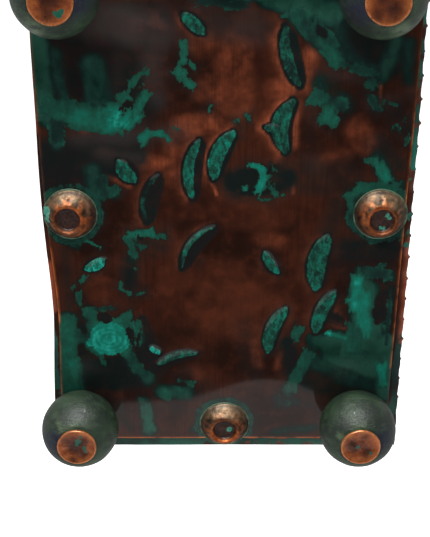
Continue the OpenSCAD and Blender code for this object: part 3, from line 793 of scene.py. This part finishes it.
# stretches of the rim that are rubbed bright, with a painted edge highlight: from, to, width, strength
rimPlaces = [
    (-80, -183, 70, -183, 6, 0.75), (-121, -30, -122, -80, 6, 0.90), (-121, -100, -121, -150, 4, 0.25),
    (125, 70, 124, -20, 5, 0.55), (125, 112, 125, 78, 5, 0.18), (122, -30, 120, -120, 5, 0.42),
    (-126, 120, -124, 60, 4, 0.12),
]

# black claw strokes brushed over the verdigris: from, to, width, bulge
clawStrokes = [
    (-65, -79, -68, -102, 1.3, 3.0), (-62.5, -82, -66, -106, 1.5, 3.0), (-59.5, -85, -63, -112, 2.2, 2.5),
    (-62, -104, -59, -122, 5.5, 0), (-60, -79, -55, -93, 6.0, 0), (-72, 74, -53, 97, 2.6, 0),
    (-63, -14, -59, -19, 3.0, 0), (-105, -84, -103, -93, 5.0, 0), (73, 72, 78, 69, 1.2, 0),
    (92, 87.5, 97, 85.5, 1.0, 0), (-93, -79, -82, -82, 8.0, 0), (-101, 98, -98, 82, 7, 0),
    (-70, 108, -68, 88, 9, 0), (58, 130, 62, 124, 5, 0), (112, -60, 108, -84, 9, 0),
    (106, -50, 114, -54, 3, 0), (-104, -104, -101, -118, 8, 0), (70, -76, 84, -86, 9, 0),
]

# soot clouds: from, to, width, strength
sootClouds = [
    (-122, 38, -70, 44, 34, 1.0), (-104, 120, -58, 118, 40, 0.8), (-70, 92, -60, 78, 24, 0.9),
    (-88, 50, -62, 52, 16, 0.8), (-120, 22, -95, 28, 20, 0.9), (-115, 132, -50, 130, 34, 0.9),
    (-104, 95, -100, 85, 26, 0.8), (-74, 100, -70, 90, 18, 0.9), (-60, 66, -48, 80, 16, 0.95),
    (-62, 112, -50, 96, 14, 0.7), (-95, -128, -64, -124, 32, 1.0), (-60, -96, -52, -112, 16, 0.95),
    (-68, -36, -68, -58, 15, 0.85), (-56, -20, -45, -25, 10, 0.7), (8, 22, 36, 26, 26, 0.95),
    (42, 30, 82, 24, 28, 0.5), (70, -12, 78, 12, 14, 0.6), (12, -88, 20, -128, 16, 0.4),
    (44, -102, 48, -126, 14, 1.0), (80, -66, 84, -88, 14, 0.4), (84, -28, 120, -26, 22, 0.9),
    (116, -58, 111, -86, 12, 0.95), (66, -130, 108, -132, 34, 0.85), (46, -148, 62, -152, 9, 0.8),
    (-48, -154, -30, -157, 7, 0.6), (70, 124, 106, 112, 32, 0.95), (60, 97, 84, 97, 8, 0.6),
    (108, 76, 120, 58, 16, 0.7), (-4, 132, 22, 128, 24, 0.5), (-48, -118, -58, -136, 14, 0.8),
    (-98, -92, -94, -120, 12, 0.7), (-112, -26, -112, -74, 9, 0.55), (100, 52, 114, 36, 14, 0.75),
    (-30, -130, -12, -150, 22, 0.45), (58, 40, 84, 40, 8, 0.3), (72, -36, 84, -44, 12, 0.5),
    (-42, -10, -50, -30, 8, 0.4), (118, 100, 122, 80, 8, 0.5),
]

# places rubbed back to warm copper: from, to, width, strength
warmSpots = [
    (-56, 38, -37, 37, 8, 0.42), (-30, 62, -8, 65, 14, 0.34), (-38, 52, -36, 24, 10, 0.24),
    (-12, 24, -7, 14, 1.4, 0.7), (29, 70, 24, 63, 7, 0.85), (23, 62, 33, 49, 2.0, 0.7),
    (30, 90, 40, 86, 12, 0.3), (31, 122, 38, 98, 6, 0.52), (54, 112, 50, 90, 8, 0.44),
    (46, 78, 43, 50, 6, 0.54), (4, 112, 4, 80, 24, 0.20), (86, 62, 94, 50, 14, 0.24),
    (24, -18, 36, -22, 12, 0.16), (-55, 133, -45, 133, 12, 0.30), (-78, 28, -66, 21, 4, 0.4),
    (100, 112, 100, 76, 1.4, 0.6), (-99, 64, -95, 60, 4, 0.3), (-30, 22, -23, 10, 1.4, 0.5),
    (-20, 118, 0, 120, 14, 0.16), (-14, 88, 10, 86, 16, 0.2), (-90, -56, -86, -68, 20, 0.08),
    (20, -100, 24, -120, 6, 0.18), (40, -110, 36, -122, 4, 0.16), (-24, -124, -20, -128, 8, 0.12),
    (64, 40, 78, 44, 8, 0.12), (44, 22, 45, 16, 2, 0.3), (76, -76, 84, -90, 8, 0.16),
    (-88, -79, -84, -82, 4, 0.2), (-30, 10, 30, 0, 30, 0.05), (-20, -60, 20, -70, 60, 0.06),
]

knobNames = ["knob_bottom_left", "knob_bottom_right", "knob_top_left", "knob_top_right"]
domeNames = ["dome_left", "dome_right", "dome_bottom", "dome_top"]


def centreOf(name):
    low, high = boxOf(name)
    return (low + high) / 2


def plateHalf(share):
    # half the plate's width at a share of its height, since it narrows towards its foot
    s = frontPlate
    return (s["footWidth"] + (s["headWidth"] - s["footWidth"]) * share) / 2


def makeFrontPlate():
    s = frontPlate
    low, high = boxOf("front_plate")
    middleX = (low.x + high.x) / 2
    height = high.z - low.z
    thick = high.y - low.y
    columns = round(s["headWidth"] / s["step"])
    rows = round(height / s["step"])
    bm = bmesh.new()
    bmesh.ops.create_grid(bm, x_segments=columns, y_segments=rows, size=1)
    for v in bm.verts:
        half = plateHalf((v.co.y + 1) / 2)
        x, z = v.co.x * half, v.co.y * height / 2
        overX, overZ = abs(x) - (half - s["cornerRadius"]), abs(z) - (height / 2 - s["cornerRadius"])
        if overX > 0 and overZ > 0:  # pull the square corners in to a quarter circle
            pull = max(overX, overZ) / math.hypot(overX, overZ)
            x = math.copysign(half - s["cornerRadius"] + overX * pull, x)
            z = math.copysign(height / 2 - s["cornerRadius"] + overZ * pull, z)
        v.co = Vector((x + middleX, low.y, z + (low.z + high.z) / 2))
    rimEdges = [e for e in bm.edges if e.is_boundary]
    extruded = bmesh.ops.extrude_edge_only(bm, edges=rimEdges)["geom"]
    backVerts = [g for g in extruded if isinstance(g, bmesh.types.BMVert)]
    bmesh.ops.translate(bm, verts=backVerts, vec=(0, thick, 0))
    backEdges = [g for g in extruded if isinstance(g, bmesh.types.BMEdge)]
    bmesh.ops.contextual_create(bm, geom=backEdges)
    bmesh.ops.recalc_face_normals(bm, faces=bm.faces)
    bmesh.ops.scale(bm, verts=bm.verts, vec=(mm, mm, mm))
    piece = addPiece(bm, "hammered_front_plate", "box", "plate", ["front_plate"], 50)
    shapeFrontPlate(piece, low, high)
    paintPlate(piece)


def edgeDistance(px, pz, low, high):
    half = plateHalf((pz - low.z) / (high.z - low.z))
    return np.minimum(half - np.abs(px - (low.x + high.x) / 2), np.minimum(pz - low.z, high.z - pz))


def shapeFrontPlate(piece, low, high):
    s = frontPlate
    points = pointsOf(piece)
    px, pz = points[:, 0].copy(), points[:, 2].copy()
    front = points[:, 1] < (low.y + high.y) / 2
    toEdge = edgeDistance(px, pz, low, high)
    wave = np.array([ripple(x, 0, z, s["waveSize"], 11) + 0.12 * ripple(x, 0, z, s["fineWaveSize"], 12)
                     for x, z in zip(px, pz)])
    swellX, swellZ, swellReach, swellHeight = s["footSwell"]
    swell = swellHeight * np.exp(-((px - swellX) ** 2 + (pz - swellZ) ** 2) / swellReach ** 2)
    relief = s["waviness"] * (wave + 3.0) + swell
    for dent in leafDents:
        reach, side = leafField(px, pz, dent)
        width = dent[4]
        bowl = np.clip((reach + 0.4) / (width / 2), 0, 1)
        hollow = bowl * (2 - bowl)
        lip = np.exp(-((reach + 1.8) / 1.6) ** 2) * np.clip(0.4 + side / width, 0.1, 1)
        relief = relief - s["dentDepth"] * min(1.0, width / 9) * hollow + s["ridge"] * lip
    relief = np.where(toEdge < 1.3, relief - 0.5 * (1 - np.clip(toEdge, 0, 1.3) / 1.3) ** 2, relief)
    relief = np.clip(relief, -1.2, 2.0)
    points[:, 1] = np.where(front, points[:, 1] - relief, points[:, 1])
    for i, (x, z) in enumerate(zip(px, pz)):
        shift = handShift(x, low.y, z)
        points[i, 0] += shift.x
        points[i, 2] += shift.z
    piece.data.vertices.foreach_set("co", (points * mm).astype(np.float32).ravel())
    # the rim mark: rubbed copper and a painted edge highlight along the front's rim and on the plate's edge
    # faces
    rubbedAndHighlight = np.maximum(s["rimFloor"], cloudsOf(px, pz, rimPlaces, s["rimFeather"]))
    storeMark(piece, "rim", np.where(front, np.clip(1 - toEdge / s["rimWidth"], 0, 1), 0.6) * rubbedAndHighlight)
    piece.data.update()


def paintPlate(piece):
    s = frontPlate
    points = pointsOf(piece)
    px, pz = points[:, 0], points[:, 2]
    warpX = np.array([ripple(x, 0, z, s["wanderSize"], 21) for x, z in zip(px, pz)])
    warpZ = np.array([ripple(x, 0, z, s["wanderSize"], 22) for x, z in zip(px, pz)])
    bx, bz = px + s["brushWander"] * warpX, pz + s["brushWander"] * warpZ
    reachAll = np.full(len(px), -12.0)
    tone = np.full(len(px), 0.4)
    sootAndShade = cloudsOf(bx, bz, sootClouds, s["sootFeather"])
    wash = cloudsOf(bx, bz, greenWashes, s["washFeather"])
    smokeAndSheen = cloudsOf(bx, bz, smokeVeils, s["smokeFeather"])
    warm = np.zeros(len(px))
    for spot in warmSpots:
        feather = min(s["warmFeather"], 0.6 + spot[4] / 2)
        warm = np.maximum(warm, softCloud(bx, bz, spot, feather))
    for stroke in verdigrisStrokes:
        reach = brushReach(bx, bz, stroke)
        share = np.clip((reach + 0.3) / max(1.6, 0.3 * stroke[4]), 0, 1)
        tone = tone + (stroke[5] - tone) * np.where(reach > reachAll - 2.5, share, share * 0.3)
        reachAll = np.maximum(reachAll, reach)
    pool = leafField(bx, bz, emeraldPool)[0]
    poolX, poolZ = s["poolMiddle"]
    rings = s["poolRings"] * np.cos(np.hypot((px - poolX) / 1.3, pz - poolZ) * 2.1)
    tone = np.where(pool > 0, emeraldPool[6] + rings * np.clip(pool / 3, 0, 1), tone)
    reachAll = np.maximum(reachAll, pool)
    for claw in clawStrokes:
        reach = leafField(bx, bz, claw)[0]
        reachAll = np.minimum(reachAll, -0.2 - reach)
        wash = wash * np.clip(-reach / 2, 0, 1)
        sootAndShade = np.where(reach > -0.6, np.maximum(sootAndShade, 0.9), sootAndShade)
    wholeAll = np.full(len(px), -50.0)
    innerAll = np.full(len(px), -50.0)
    for dent in leafDents:
        x1, z1, x2, z2, width, bulge, dentTone, greenShare, glow = dent
        whole, side = leafField(px, pz, dent)
        greenLeaf = (x1, z1, x2, z2, width * greenShare, bulge + (1 - greenShare) * width / 2)
        inner = leafField(px, pz, greenLeaf)[0]
        wholeAll = np.maximum(wholeAll, whole)
        innerAll = np.maximum(innerAll, np.minimum(inner, whole))
        tone = np.where(whole > -1.0, dentTone, tone)
        halo = np.exp((whole + 1.3) / 3.2) * np.clip(side / width * 2.5, 0, 1)
        warm = np.maximum(warm, glow * np.clip(halo, 0, 1))
    near = np.clip((wholeAll + 2.2) / 1.2, 0, 1)
    reachAll = np.maximum(innerAll - 0.1, reachAll - 14 * np.clip((wholeAll + 3.4) / 1.2, 0, 1))
    sootAndShade = np.maximum(sootAndShade, 0.95 * near)
    warm = warm * (1 - near)
    wash = wash * (1 - near)
    smokeAndSheen = smokeAndSheen * (1 - near)
    crustRadius, crustHalf, crustInner = s["crust"]
    for name in domeNames:
        centre = centreOf(name)
        away = np.hypot(px - centre.x, pz - centre.z)
        angle = np.arctan2(pz - centre.z, px - centre.x)
        broken = np.sin(angle * 3 + centre.x) + 0.6 * np.sin(angle * 7 + 1.0)
        ringOut = crustHalf - np.abs(away - crustRadius) + 0.7 * broken
        ringReach = np.where(away > crustInner, ringOut, reachAll)
        tone = np.where(ringReach > reachAll, 0.34 + 0.08 * np.sin(away * 3.2), tone)
        reachAll = np.maximum(reachAll, ringReach)
        # painted shadow on the plate round the dome's foot
        near = np.clip((s["domeShadow"][0] - away) / s["domeShadow"][1], 0, 1)
        sootAndShade = np.maximum(sootAndShade, 0.7 * near)
        warm = warm * (1 - near)
    for name in knobNames:
        centre = centreOf(name)
        away = np.hypot(px - centre.x, pz - centre.z)
        # painted shadow on the plate round the knob: darker, with a duller green
        near = np.clip((s["knobShadow"][0] - away) / s["knobShadow"][1], 0, 1)
        sootAndShade = np.maximum(sootAndShade, 0.85 * near)
        tone = tone * (1 - 0.35 * near)
    storeMark(piece, "verdigris", reachAll)
    storeMark(piece, "bloom", tone)
    storeMark(piece, "sootAndShade", sootAndShade)
    storeMark(piece, "warm", warm)
    storeMark(piece, "wash", wash)
    storeMark(piece, "smokeAndSheen", smokeAndSheen)
    storeMark(piece, "crinkle", np.clip((wholeAll + 2.6) / 1.2, 0, 1))


makeFrontPlate()


print("making the box sheets and the lid")

sheetWork = {"cut": 5.0, "hammer": 0.16, "hammerSize": 13.0, "warmFeather": 1.5}

# verdigris strokes and warm spots on the front wall's bare edges: from, to, width, strength of the spots; the
# warm spots are rubbed copper with a painted edge highlight
edgeStrokes = [
    (-88, -186.5, -16, -187, 8), (124.5, 150, 125.5, 62, 5), (-126, -80, -124, -146, 6),
    (118, -187, 127, -140, 7), (124, -140, 125, -95, 5), (125, 0, 125, -25, 4), (-20, -187, 86, -187, 6),
]
edgeWarm = [
    (-126, -38, -125, -76, 4, 0.95), (18, -186, 70, -187, 4, 0.5), (125, 95, 125, 20, 3, 0.35),
    (126.5, -20, 127, -100, 2, 0.6), (-126, 100, -126, 60, 3, 0.35),
]


def cutGrid(bm, axis, start, end, step):
    normal = [0, 0, 0]
    normal[axis] = 1
    at = start + step
    while at < end - step / 2:
        point = [0, 0, 0]
        point[axis] = at * mm
        geom = bm.verts[:] + bm.edges[:] + bm.faces[:]
        bmesh.ops.bisect_plane(bm, geom=geom, plane_co=point, plane_no=normal, dist=1e-6)
        at += step


def makeSheet(nodeName, name, body, cuts):
    low, high = boxOf(nodeName)
    bm = bmesh.new()
    bm.from_mesh(nodes[nodeName].data)
    bmesh.ops.remove_doubles(bm, verts=bm.verts, dist=1e-6)
    bmesh.ops.dissolve_limit(bm, angle_limit=math.radians(1), verts=bm.verts, edges=bm.edges)
    for axis in cuts:
        cutGrid(bm, axis, low[axis], high[axis], sheetWork["cut"])
    bmesh.ops.triangulate(bm, faces=bm.faces)
    bm.normal_update()
    for v in bm.verts:
        x, y, z = v.co / mm
        hammer = sheetWork["hammer"] * ripple(x, y, z, sheetWork["hammerSize"], 5)
        v.co = (Vector((x, y, z)) + handShift(x, y, z) + v.normal * hammer) * mm
    return addPiece(bm, name, body, "sheet", [nodeName], 30)


def paintEdges(piece):
    points = pointsOf(piece)
    px, pz = points[:, 0], points[:, 2]
    reachAll = np.full(len(px), -8.0)
    for stroke in edgeStrokes:
        reachAll = np.maximum(reachAll, brushReach(px, pz, stroke))
    warm = cloudsOf(px, pz, edgeWarm, sheetWork["warmFeather"])
    front = points[:, 1] < wallLow.y + 0.7
    storeMark(piece, "verdigris", np.where(front, reachAll, -20.0))
    storeMark(piece, "bloom", np.full(len(px), -0.1))
    storeMark(piece, "warm", np.where(front, warm, 0))


def farReach(piece):
    # no painted verdigris on this sheet, only what its own finish grows
    storeMark(piece, "verdigris", np.full(len(piece.data.vertices), -20.0))


farReach(makeSheet("back_plate", "back_sheet", "box", (0, 2)))
farReach(makeSheet("left_side", "left_side_sheet", "box", (1, 2)))
farReach(makeSheet("right_side", "right_side_sheet", "box", (1, 2)))
farReach(makeSheet("floor_panel", "floor_sheet", "box", (0, 1)))
paintEdges(makeSheet("front_wall", "front_wall_sheet", "box", (0, 2)))
farReach(makeSheet("lid_panel", "lid_sheet", "lid", (0, 1)))


print("making the ball knobs and their discs")

ballKnob = {
    "around": 96,
    "along": 60,
    "beaten": 0.28,
    "beatenSize": 11.0,
    "seatRadius": 7.5,  # of the flat that sits on the plate
}

# per knob: seed, then spots as across, up, radius: green and smoke on the disc, bruise and a painted
# highlight on the ball
knobMarks = {
    "bottom_left": {"seed": 31, "green": [(1.5, 4.5, 2.4), (3.0, 8.5, 1.4), (0.0, 2.0, 1.6), (5.5, -1.0, 1.8),
                                          (6.0, -4.0, 1.5)],
                    "smokeAndSheen": [(4, 5, 5), (-3, -11, 4), (-2, 0, 5), (-7, 5, 5), (4, -6, 5)],
                    "bruise": [(-19, -1, 8), (-15, 6, 5)], "paintedHighlight": [(0, 12, 7), (-12, 14, 5)]},
    "bottom_right": {"seed": 32, "green": [(-2.0, -0.5, 1.6), (7.5, -5.0, 1.4)],
                     "smokeAndSheen": [(-6, 2, 6), (2, 8, 4), (4, -6, 4)],
                     "bruise": [(14, 2, 9), (-8, -6, 5)], "paintedHighlight": [(-2, 13, 6), (-14, 8, 3)]},
    "top_left": {"seed": 33, "green": [(4.5, -7.0, 2.4), (6.5, -5.0, 1.8), (2.5, -6.0, 1.4), (-8, 4, 1.6)],
                 "smokeAndSheen": [(0, 3, 6), (-2, -8, 6)], "bruise": [(14, 0, 10)], "paintedHighlight": [(-12, -16, 6)]},
    "top_right": {"seed": 34, "green": [], "smokeAndSheen": [(4, -6, 8), (-6, -8, 5)],
                  "bruise": [(-15, -4, 9)], "paintedHighlight": [(10, -18, 6)]},
}


def makeBall(side):
    s = ballKnob
    nodeName = "knob_" + side
    low, high = boxOf(nodeName)
    radius = (high.x - low.x) / 2
    centre = Vector(((low.x + high.x) / 2, 0, (low.z + high.z) / 2))
    seat = math.sqrt(radius ** 2 - s["seatRadius"] ** 2)
    centre.y = high.y - seat
    bm = bmesh.new()
    bmesh.ops.create_uvsphere(bm, u_segments=s["around"], v_segments=s["along"], radius=radius)
    bmesh.ops.rotate(bm, verts=bm.verts, matrix=Matrix.Rotation(math.radians(90), 3, "X"))
    for level, facing in ((high.y - centre.y, 1), (low.y - centre.y, -1)):
        geom = bm.verts[:] + bm.edges[:] + bm.faces[:]
        cut = bmesh.ops.bisect_plane(bm, geom=geom, plane_co=(0, level, 0), plane_no=(0, facing, 0),
                                     clear_outer=True)["geom_cut"]
        bmesh.ops.contextual_create(bm, geom=[g for g in cut if isinstance(g, bmesh.types.BMEdge)])
    seed = knobMarks[side]["seed"]
    for v in bm.verts:
        x, y, z = v.co + centre
        beat = s["beaten"] * ripple(x, y, z, s["beatenSize"], seed) + 0.5 * ripple(x, y, z, 40, seed + 50)
        if low.y + 0.3 < y < high.y - 0.3:
            v.co += v.co.normalized() * beat
    bmesh.ops.translate(bm, verts=bm.verts, vec=centre)
    bmesh.ops.recalc_face_normals(bm, faces=bm.faces)
    bmesh.ops.scale(bm, verts=bm.verts, vec=(mm, mm, mm))
    piece = addPiece(bm, "ball_" + side, "box", "ball", [nodeName])
    points = pointsOf(piece) - np.array(centre)
    # the pale spots are painted highlights, stored in the warm mark
    for mark, spots in (("sootAndShade", knobMarks[side]["bruise"]), ("warm", knobMarks[side]["paintedHighlight"])):
        strength = np.zeros(len(points))
        for x, z, reach in spots:
            away = np.hypot(points[:, 0] - x, points[:, 2] - z) / reach
            strength = np.maximum(strength, np.clip(1.5 - away, 0, 1) * (points[:, 1] < 0))
        storeMark(piece, mark, strength)


def turned(profile, steps, across):
    # spins a profile of (radius, height) points round the Y axis; height points out of the wall
    bm = bmesh.new()
    verts = [bm.verts.new((radius, -height, 0)) for radius, height in profile]
    edges = [bm.edges.new(pair) for pair in zip(verts, verts[1:])]
    bmesh.ops.subdivide_edges(bm, edges=edges, cuts=across)
    bmesh.ops.spin(bm, geom=bm.verts[:] + bm.edges[:], axis=(0, 1, 0), cent=(0, 0, 0),
                   angle=2 * math.pi, steps=steps, use_merge=True)
    bmesh.ops.remove_doubles(bm, verts=bm.verts, dist=0.01)
    bmesh.ops.recalc_face_normals(bm, faces=bm.faces)
    return bm


disc = {
    "profile": [(0, 0.5), (5, 0.55), (9, 0.85), (12, 1.2), (13, 1.5), (13.6, 1.45), (13.9, 1.1),
                (13.9, 0), (0, 0)],
    "steps": 72,
    "dents": 0.3,
}


def makeDisc(side):
    s = disc
    nodeName = "cap_" + side
    low, high = boxOf(nodeName)
    centre = Vector(((low.x + high.x) / 2, high.y, (low.z + high.z) / 2))
    seed = knobMarks[side]["seed"]
    bm = turned(s["profile"], s["steps"], 3)
    for v in bm.verts:
        x, y, z = v.co
        if y < -0.3:
            fine = 0.5 * s["dents"] * ripple(x, 0, z, 2.2, seed + 9)
            v.co.y -= s["dents"] * ripple(x, 0, z, 5, seed) + fine
        v.co += Vector((0.25 * ripple(x, 0, z, 9, seed + 3), 0, 0.25 * ripple(x, 0, z, 9, seed + 4)))
    bmesh.ops.translate(bm, verts=bm.verts, vec=centre)
    bmesh.ops.scale(bm, verts=bm.verts, vec=(mm, mm, mm))
    piece = addPiece(bm, "disc_" + side, "box", "cap", [nodeName])
    points = pointsOf(piece)
    px, pz = points[:, 0] - centre.x, points[:, 2] - centre.z
    smokeAndSheen = np.zeros(len(px))
    for x, z, radius in knobMarks[side]["smokeAndSheen"]:
        smokeAndSheen = np.maximum(smokeAndSheen, 0.75 * np.clip(1.3 - np.hypot(px - x, pz - z) / radius, 0, 1))
    away = np.hypot(px, pz)
    storeMark(piece, "verdigris", spotReach(px, pz, knobMarks[side]["green"]))
    storeMark(piece, "sootAndShade", smokeAndSheen)
    storeMark(piece, "warm", np.clip((away - 4) / 8, 0, 1))
    # the rim mark paints a highlight round the disc's edge
    storeMark(piece, "rim", 0.7 * np.clip((away - 12.4) / 0.7, 0, 1))


for side in knobMarks:
    makeBall(side)
    makeDisc(side)


print("making the dimpled domes")

dimpledDome = {
    "profile": [(0, 5.5), (3, 5.4), (6, 5.5), (7.5, 5.6), (8.1, 6.3), (8.4, 7.4), (8.9, 8.4), (9.8, 8.9),
                (10.8, 8.7), (12, 7.7), (13.4, 6.1), (14.8, 4.4), (16.1, 2.8), (17, 1.5), (17.5, 0.7),
                (18.4, 0.5), (19.0, -0.4), (2.5, -0.4), (2.5, -5.0), (0, -5.0)],
    "steps": 96,
    "hammer": 0.6,
    "slideFrom": 15.5,  # from this radius inwards the form leans to its off-centre dimple
    "slideOver": 5,     # and has moved all the way this much further in
}

# per dome: seed, green spots as across, up, radius, a small dent with a painted dark reflection dot, where
# the dimple sits off the middle,
# and the turns that its painted highlight side, painted reflection crescent and painted tan sheen face
domeMarks = {
    "dome_left": {"seed": 41, "green": [(-16, 1, 2.6), (-15.5, 4, 2.6), (-15.5, -3, 2.2)],
                  "dentAndReflection": (0, 12.6), "off": (-1.4, -1.4),
                  "glowTurn": 0.9, "crescentTurn": -1.4, "sheenTurn": 1.7},
    "dome_right": {"seed": 42,
                   "green": [(3.6, 3.4, 1.6), (5.0, 1.4, 1.6), (-0.5, -5.6, 1.5), (1.8, -5.7, 1.4)],
                   "dentAndReflection": (-0.5, 12.6), "off": (0.6, -2.2),
                   "glowTurn": 2.4, "crescentTurn": -1.5, "sheenTurn": 1.4},
    "dome_bottom": {"seed": 43, "green": [(3.8, -0.2, 2.2)], "dentAndReflection": None, "off": (0, -1.3),
                    "glowTurn": -1.6, "crescentTurn": -1.6, "sheenTurn": 1.57},
    "dome_top": {"seed": 44, "green": [(-4, 2, 1.8)], "dentAndReflection": None, "off": (0.4, -1.0),
                 "glowTurn": -1.6, "crescentTurn": -1.6, "sheenTurn": 1.57},
}


def makeDome(name):
    s = dimpledDome
    marks = domeMarks[name]
    low, high = boxOf(name)
    centre = Vector(((low.x + high.x) / 2, plateFront, (low.z + high.z) / 2))
    bm = turned(s["profile"], s["steps"], 1)
    for v in bm.verts:
        x, y, z = v.co
        radius = math.hypot(x, z)
        flank = max(0.0, 1 - abs(radius - 13.2) / 4.2)
        floor = 1.0 if radius < 7.5 and y < 0 else 0.0
        out = s["hammer"] * flank * (ripple(x, 0, z, 3.6, marks["seed"]) + 0.4 * ripple(x, 0, z, 1.8, 7))
        out += 0.22 * ripple(x, 0, z, 4.5, marks["seed"] + 5)
        out += floor * 0.10 * math.cos(radius * 2 * math.pi / 1.6)
        # a small dent where the painted dark reflection dot sits
        if marks["dentAndReflection"]:
            out -= 0.6 * math.exp(-((x - marks["dentAndReflection"][0]) ** 2 + (z - marks["dentAndReflection"][1]) ** 2) / 0.9)
        if y < 0:
            v.co.y -= out
        slide = max(0.0, min(1.0, (s["slideFrom"] - radius) / s["slideOver"])) if y < 0 else 0.0
        v.co += slide * Vector((marks["off"][0], 0, marks["off"][1]))
        if radius > 3:
            lean = Vector((ripple(x, 0, z, 12, marks["seed"] + 1), 0, ripple(x, 0, z, 12, marks["seed"] + 2)))
            v.co += 0.3 * lean
    bmesh.ops.translate(bm, verts=bm.verts, vec=centre)
    bmesh.ops.scale(bm, verts=bm.verts, vec=(mm, mm, mm))
    piece = addPiece(bm, name.replace("dome", "dimpled_dome"), "box", "dome", [name])
    points = pointsOf(piece)
    px, pz = points[:, 0] - centre.x, points[:, 2] - centre.z
    slide = np.clip((s["slideFrom"] - np.hypot(px, pz)) / s["slideOver"], 0, 1)
    formX, formZ = px - slide * marks["off"][0], pz - slide * marks["off"][1]
    away = np.hypot(formX, formZ)
    grainy = np.array([ripple(x, 0, z, 3.0, marks["seed"] + 8) for x, z in zip(px, pz)])
    turn = np.arctan2(pz, px)
    # painted highlight: the ring and its spread are brighter on the side turned to glowTurn
    facing = 0.55 + 0.45 * np.cos(turn - marks["glowTurn"])
    ring = np.clip(1 - np.abs(away - 9.4) / 1.8, 0, 1) ** 0.5 * np.clip(facing + 0.5 * grainy, 0.3, 1)
    spread = np.clip(1 - np.abs(away - 11.8) / 4.5, 0, 1) * np.clip(0.3 + 2.2 * grainy, 0, 1) * facing ** 0.5
    # painted reflection: a bright crescent on the lower flank
    crescent = np.clip(1 - np.abs(away - 13.4) / 2.2, 0, 1)
    crescent = crescent * np.clip(1.6 * np.cos(turn - marks["crescentTurn"]) - 0.5, 0, 1)
    storeMark(piece, "warm", np.clip(np.maximum(np.maximum(ring, 0.8 * spread), 0.9 * crescent), 0, 1))
    # painted sheen: a tan upper side of the flank
    sheenSide = np.clip(1.5 * np.cos(turn - marks["sheenTurn"]) - 0.25, 0, 1) * np.clip((away - 10.5) / 2, 0, 1)
    storeMark(piece, "smokeAndSheen", sheenSide * np.clip(0.75 + grainy, 0.2, 1))
    # the dimple floor is dark; the outer ring is a painted shadow line near the foot, and the dot is a
    # painted dark reflection
    floorDark = np.clip((8.45 - away) / 0.35, 0, 1)
    outer = np.clip(1 - np.abs(away - 16.6) / 0.8, 0, 1) * 0.75
    if marks["dentAndReflection"]:
        dot = np.clip(1.6 - np.hypot(px - marks["dentAndReflection"][0], pz - marks["dentAndReflection"][1]), 0, 1)
        outer = np.maximum(outer, dot)
    storeMark(piece, "sootAndShade", np.maximum(floorDark, outer))
    storeMark(piece, "verdigris", spotReach(formX, formZ, marks["green"]))
    storeMark(piece, "rim", np.clip((away - 17.5) / 0.5, 0, 1))


for name in domeNames:
    makeDome(name)


print("making the seam rivets")

seamRivet = {
    "profile": [(0, 2.2), (0.5, 2.0), (1.1, 1.3), (1.9, 0.75), (2.6, 0.35), (2.8, 0.0), (1.5, -0.1),
                (1.5, -2.3), (2.7, -2.4), (2.5, -3.1), (0, -3.2)],
    "steps": 18,
}


def makeSeamRivets():
    rng = random.Random(7)
    whole = bmesh.new()
    for i in range(seamRows["count"]):
        z = seamStart + i * seamPitch
        y = (seamLow.y + seamHigh.y) / 2
        one = turned(seamRivet["profile"], seamRivet["steps"], 0)
        heads = [v for v in one.verts if v.co.y < 0.05]
        stretch = (rng.uniform(0.9, 1.25), rng.uniform(0.75, 1.25), rng.uniform(0.9, 1.3))
        bmesh.ops.scale(one, verts=heads, vec=stretch)
        bmesh.ops.translate(one, verts=heads, vec=(rng.uniform(-0.3, 0.3), 0, rng.uniform(-0.3, 0.3)))
        bmesh.ops.rotate(one, verts=one.verts, matrix=Matrix.Rotation(math.radians(90), 3, "Z"))
        shift = handShift(wallHigh.x, y, z)
        bmesh.ops.translate(one, verts=one.verts, vec=Vector((wallHigh.x, y, z)) + shift)
        mesh = bpy.data.meshes.new("oneRivet")
        one.to_mesh(mesh)
        one.free()
        whole.from_mesh(mesh)
        bpy.data.meshes.remove(mesh)
    bmesh.ops.recalc_face_normals(whole, faces=whole.faces)
    bmesh.ops.scale(whole, verts=whole.verts, vec=(mm, mm, mm))
    addPiece(whole, "pointed_seam_rivets", "box", "rivet", ["seam_rivets"])


makeSeamRivets()


# CAD pieces whose shape stays, with their finishes
keptNodes = {
    "rivet": ["back_rivets", "hinge_rivets_box", "hinge_rivets_lid", "dome_burrs"],
    "hinge": ["hinge_leaf_box", "hinge_leaf_lid"],
    "brass": ["hinge_pin", "knob_studs", "knob_washers", "knob_nuts"],
}
for finish, names in keptNodes.items():
    for name in names:
        nodes[name].data.materials.clear()
        nodes[name].data.materials.append(finishes[finish])
print("rivets, hinge and hardware finished")
